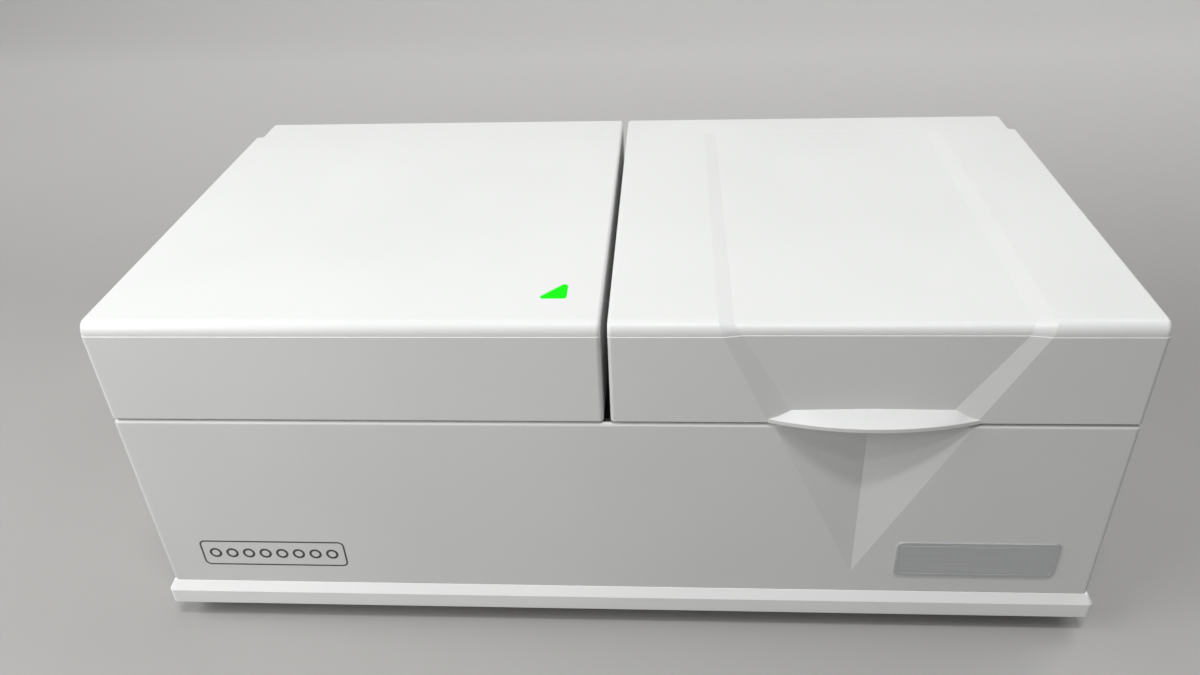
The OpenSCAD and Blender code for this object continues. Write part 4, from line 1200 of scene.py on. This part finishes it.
def build_filters():
    clips = Shape()
    tints = [(0.55, 0.25, 0.9), (0.25, 0.45, 0.95), (0.2, 0.8, 0.85), (0.3, 0.85, 0.35),
             (0.85, 0.85, 0.25), (0.95, 0.55, 0.2), (0.95, 0.25, 0.2), (0.85, 0.85, 0.9)]
    face = WHEEL.x0
    for k, tint in enumerate(tints):
        a = pi / 2 + 2 * pi * k / len(tints)
        centre = (0, WHEEL.y + FILTERS_R * cos(a), WHEEL.z + FILTERS_R * sin(a))
        disc = Shape()
        disc.lathe([(3.3, face + 1), (3.48, face + 1.15), (3.48, face + 2.85), (3.3, face + 3)],
                   centre, "x", 40)
        finish = "filter_tint_%d" % (k + 1)
        MATERIALS[finish] = glassy(finish, tint, 0.03)
        piece("interference_filter_%d" % (k + 1), disc, finish, [] if k else ["optical_filters"],
              body="filter_wheel", slot="filter_glass")
        for x0 in (face + 0.35, face + 3.1):
            clips.lathe([(2.9, x0), (3.45, x0), (3.45, x0 + 0.5), (2.9, x0 + 0.5)], centre, "x", 40,
                        caps=False)
    piece("filter_clips", clips, "bright_steel", body="filter_wheel")


def build_wheel_motor():
    motor = Span("filter_motor")
    shape = Shape()
    bore = 1.55
    x0, x1, r = motor.x0, motor.x1, (motor.z1 - motor.z0) / 2
    shape.lathe([(bore, x0), (r - 0.4, x0), (r, x0 + 0.4), (r, x0 + 3), (r - 0.25, x0 + 3.1),
                 (r - 0.25, x0 + 3.5), (r, x0 + 3.6), (r, x1 - 3), (r - 0.3, x1 - 2.9), (r - 0.3, x1 - 2.4),
                 (r - 0.05, x1 - 2.3), (r - 0.05, x1 - 0.4), (r - 0.5, x1), (bore, x1)],
                (0, motor.y, motor.z), "x", 64, caps=False)
    piece("wheel_motor_can", shape, "lamp_aluminium", ["filter_motor"], 28)


# ---- Electronics ----

LEAD_PITCH = 1.27


def chip(body, legs, x0, x1, y0, y1, z, height):
    """Surface-mount package with gull-wing leads along its two longer sides."""
    body.layers(rectangle(x0, x1, y0, y1, 0.15),
                [(z + 0.15, 0.15), (z + height * 0.5, 0), (z + height, 0.2)], steps=2)
    body.lathe([(0.35, z + height - 0.02), (0.35, z + height + 0.01)], (x0 + 1, y0 + 1, 0), steps=16)
    along = x1 - x0 > y1 - y0
    a, b = (x0, x1) if along else (y0, y1)
    count = int((b - a - 1) / LEAD_PITCH)
    for k in range(count):
        p = (a + b) / 2 + (k - (count - 1) / 2) * LEAD_PITCH
        width = (p - 0.22, p + 0.22)
        for side, edge in zip((-1, 1), (y0, y1) if along else (x0, x1)):
            for start, stop, low, high in ((0, 0.9, 0.5, 0.65), (0.5, 1.1, 0, 0.14)):
                reach = sorted((edge + side * start, edge + side * stop))
                sides = (*width, *reach) if along else (*reach, *width)
                legs.block(*sides, z + low, z + high)


def header(body, pins, x0, x1, y0, y1, z0, z1, count):
    """Open-topped connector with a row of pins."""
    body.layers(rectangle(x0, x1, y0, y1, 0.4),
                [(z0, 0), (z1 - 0.2, 0), (z1, 0.2), (z1, 0.8), (z0 + 2, 0.8)], steps=3)
    along = x1 - x0 > y1 - y0
    a, b = (x0 + 1.8, x1 - 1.8) if along else (y0 + 1.8, y1 - 1.8)
    for k in range(count):
        p = a + (b - a) * k / max(count - 1, 1)
        x, y = (p, (y0 + y1) / 2) if along else ((x0 + x1) / 2, p)
        pins.block(x - 0.3, x + 0.3, y - 0.3, y + 0.3, z0 + 1, z1 - 0.8)


def build_main_board():
    z = Span("main_board").z1
    dark, legs, white, cans, sleeves = Shape(), Shape(), Shape(), Shape(), Shape()
    chip(dark, legs, -20, 2, 60, 82, z, 2.4)
    chip(dark, legs, 20, 34, 64, 78, z, 1.8)
    for i in range(4):
        chip(dark, legs, 46 + i * 11, 53 + i * 11, 40, 50, z, 1.6)
    # Regulators with finned coolers
    for i in range(3):
        x0, y0 = 46 + i * 14, 92
        dark.block(x0, x0 + 10, y0 + 1.6, y0 + 4, z, z + 1)
        for k in range(6):
            dark.block(x0 + k * 1.8, x0 + k * 1.8 + 0.9, y0, y0 + 4, z + 1, z + 9)
        dark.block(x0, x0 + 10, y0 + 1.5, y0 + 2.5, z + 0.9, z + 9)
    # Electrolytic capacitors
    for i in range(5):
        x, y = -58 + i * 12, 110
        sleeves.lathe([(3.7, z), (4, z + 0.4), (4, z + 1.2), (3.8, z + 1.5), (4, z + 1.8), (4, z + 13.4),
                       (3.7, z + 13.9), (3.3, z + 13.9), (3.3, z + 13.6)], (x, y, 0), steps=40)
        cans.lathe([(3.25, z + 13.5), (3.25, z + 13.75)], (x, y, 0), steps=32)
    header(white, legs, -64, -58, 44, 80, z, z + 8, 12)
    for i in range(4):
        header(white, legs, -30 + i * 22, -16 + i * 22, 26, 32, z, z + 9, 5)
    # Small resistors and capacitors in rows
    places = [(-44 + 4.5 * i, 50 + 5 * j) for i in range(4) for j in range(6)]
    places += [(8 + 4 * i, 46 + 4 * j) for i in range(7) for j in range(3)]
    places += [(70 + 4 * i, 62 + 4 * j) for i in range(5) for j in range(5)]
    for x, y in places:
        dark.block(x - 0.55, x + 0.55, y - 0.5, y + 0.5, z, z + 0.45)
        legs.block(x - 0.9, x - 0.5, y - 0.5, y + 0.5, z, z + 0.48)
        legs.block(x + 0.5, x + 0.9, y - 0.5, y + 0.5, z, z + 0.48)
    piece("board_packages", dark, "parts_dark", ["board_parts"], 20)
    piece("board_leads", legs, "bright_steel", limit=20)
    piece("board_headers", white, "lamp_ceramic", limit=30)
    piece("capacitor_sleeves", sleeves, "diode_dark", limit=30)
    piece("capacitor_tops", cans, "lamp_aluminium", limit=30)


def build_detector_board():
    detector = Span("detector_board")
    x, top = BRIDGE.x, 61.6
    card, socket, pins, amps = Shape(), Shape(), Shape(), Shape()
    card.block(x - 20, x + 10, 24, 100, detector.z0, top)
    header(socket, pins, x - 18, x - 12, 44, 80, top, detector.z1, 14)
    for k in range(8):
        chip(amps, pins, x - 11, x - 8, 31 + 8 * k, 35 + 8 * k, top, 1.1)
    piece("detector_card", card, "board_green", ["detector_board"])
    piece("detector_header", socket, "lamp_ceramic", limit=30)
    piece("detector_pins", pins, "bright_steel")
    piece("detector_amplifiers", amps, "parts_dark")


def build_indicator_board():
    """The board under the indicator, its light source and two posts."""
    small = Span("indicator_board")
    under = LID_TOP - 6.4
    card, source, posts = Shape(), Shape(), Shape()
    card.block(small.x0, small.x1, small.y0, small.y1, small.z0, under)
    for y in (11, 24):
        posts.lathe([(1.5, under), (1.5, LID_TOP - WALL)], (-28.5, y, 0), steps=24)
    source.block(-20, -15, 17, 22, under, under + 0.8)
    source.lathe([(1.9, under + 0.8), (1.6, under + 1.4), (0.9, under + 1.6)], (-17.5, 19.5, 0), steps=32)
    piece("indicator_card", card, "board_green", ["indicator_board"], body="service_lid")
    piece("indicator_source", source, "lamp_ceramic", body="service_lid")
    piece("indicator_posts", posts, "bearing_polymer", body="service_lid")


# CAD nodes whose shape is kept, with their edges broken: node, width of the round in mm, and its
# segments where they are not two
REFINED = [
    ("light_seal", 0.15, 1), ("hinge_shaft", 0.35), ("hinge_bracket", 0.25), ("rear_panel", 0.2),
    ("power_inlet", 0.45, 3), ("inlet_pins", 0.3), ("fuse_drawer", 0.35), ("switch_frame", 0.4, 3),
    ("switch_rocker", 0.5, 3), ("fan_frame", 0.3), ("service_lid_bushes", 0.2),
    ("plate_lid_bushes", 0.2), ("deck_plate", 0.2), ("deck_pillars", 0.3), ("guide_rods", 0.4),
    ("rod_supports", 0.6, 3), ("plate_carrier", 0.6, 3), ("carrier_bearings", 0.6, 3),
    ("clamp_lever", 0.35), ("clamp_pin", 0.15), ("belt_clamp", 0.4), ("motor_brackets", 0.25),
    ("motor_shaft", 0.3), ("idler_axle", 0.2), ("light_baffle", 0.25), ("chamber_liner", 0.25),
    ("optics_bridge", 0.6, 3), ("detector_bar", 0.5, 3), ("lamp_housing", 0.35),
    ("filter_wheel", 0.3), ("wheel_shaft", 0.2), ("main_board", 0.12, 1), ("power_supply", 0.3),
]


def build_inside():
    """Everything behind the case: what is drawn here, and the CAD nodes that keep their shape."""
    build_fan()
    build_guard()
    build_socket()
    build_fuses()
    build_belt()
    build_pulley("drive_pulley", "motor_pulley", MOTOR_X, 2.5)
    build_pulley("return_pulley", "idler_pulley", IDLER_X, 2.05)
    build_motor()
    build_spring()
    build_lenses()
    build_fibres()
    build_diodes()
    build_lamp()
    build_condenser()
    build_filters()
    build_wheel_motor()
    build_main_board()
    build_detector_board()
    build_indicator_board()
    for node, *round_off in REFINED:
        refine(node, *round_off)


# ---- Camera, light and floor ----

MIDDLE = at(0, 80, 60)


def add_camera():
    eye = at(19.16, -242.66, 276.3)
    pitch, yaw, roll = 0.569, -0.069, -0.037
    ahead = Vector((sin(yaw) * cos(pitch), cos(yaw) * cos(pitch), -sin(pitch)))
    level = Vector((cos(yaw), -sin(yaw), 0))
    above = level.cross(ahead)
    right = cos(roll) * level + sin(roll) * above
    up = cos(roll) * above - sin(roll) * level
    data = bpy.data.cameras.new("camera")
    data.sensor_width, data.lens = 36, 28.957
    data.shift_x, data.shift_y = -0.0129, -0.0079
    camera = new_object("camera", data)
    turn = Matrix((right, up, -ahead)).transposed()
    camera.matrix_world = Matrix.Translation(eye) @ turn.to_4x4()
    bpy.context.scene.camera = camera


def add_area_light(name, place, size, power):
    """A soft light, in metres and watts, that faces the middle of the object."""
    data = bpy.data.lights.new(name, "AREA")
    data.shape = "RECTANGLE"
    data.size, data.size_y = size
    data.energy = power
    light = new_object(name, data)
    light.location = place
    light.rotation_euler = (MIDDLE - Vector(place)).to_track_quat("-Z", "Y").to_euler()


def add_stage():
    """Pale floor that curves up into a backdrop."""
    half, back, bend = 6.0, 1.2, 0.5
    profile = [(-half, 0)]
    for a in quarter(12):
        profile.append((back - bend + bend * sin(a), bend * (1 - cos(a))))
    profile.append((back, 2.5))
    points = [(x, y, z) for y, z in profile for x in (-half, half)]
    faces = [[2 * k, 2 * k + 1, 2 * k + 3, 2 * k + 2] for k in range(len(profile) - 1)]
    mesh = bpy.data.meshes.new("floor")
    mesh.from_pydata(points, [], faces)
    for polygon in mesh.polygons:
        polygon.use_smooth = True
    finish = Finish("floor", (0.40, 0.395, 0.385), 0.5).drift((0.385, 0.38, 0.37), 300)
    mesh.materials.append(finish.fade((0.7, 0.695, 0.68), "Y", 0.16, 0.6).vary(0.45, 0.6, 80)
                          .relief(3, 0.02).material)
    new_object("floor", mesh)


def add_light():
    world = bpy.data.worlds.new("room")
    world.use_nodes = True
    sky = world.node_tree.nodes["Background"]
    sky.inputs["Color"].default_value = (0.95, 0.98, 1.0, 1)
    sky.inputs["Strength"].default_value = 0.03
    bpy.context.scene.world = world
    add_area_light("key", (0.08, -0.5, 1.64), (0.5, 0.08), 9)
    add_area_light("key_low", (0.08, -0.76, 1.54), (0.5, 0.08), 2.1)
    add_area_light("ceiling", (0.1, 0.25, 1.7), (1.6, 1.0), 3.8)
    add_area_light("window_side", (-0.9, -0.2, 0.8), (0.5, 0.5), 5.8)
    add_area_light("window_near", (-0.42, -0.4, 0.41), (0.2, 0.2), 1.05)
    add_area_light("window_low", (-0.45, -0.7, 0.25), (0.3, 0.3), 0.3)
    add_area_light("fill", (1.0, 0.5, 1.3), (0.8, 0.8), 6)
    bpy.context.scene.view_settings.view_transform = "Standard"


def paint_cad_nodes():
    """Gives each CAD node that still shows the material of its slot."""
    for node in frame["nodes"].values():
        slot = node.data.materials[0].name
        if slot in MATERIALS and not node.hide_render:
            node.material_slots[0].link = "OBJECT"
            node.material_slots[0].material = MATERIALS[slot]


add_camera()
add_stage()
add_light()
build_lid("service_lid_shell", "service_lid", service.x1, -1, [])
build_lid("plate_lid_shell", "plate_lid", plate.x0, 1, BAND_LINES)
build_indicator()
build_housing()
build_tray()
build_feet()
build_screws()
build_badge()
build_print()
build_inside()
paint_cad_nodes()
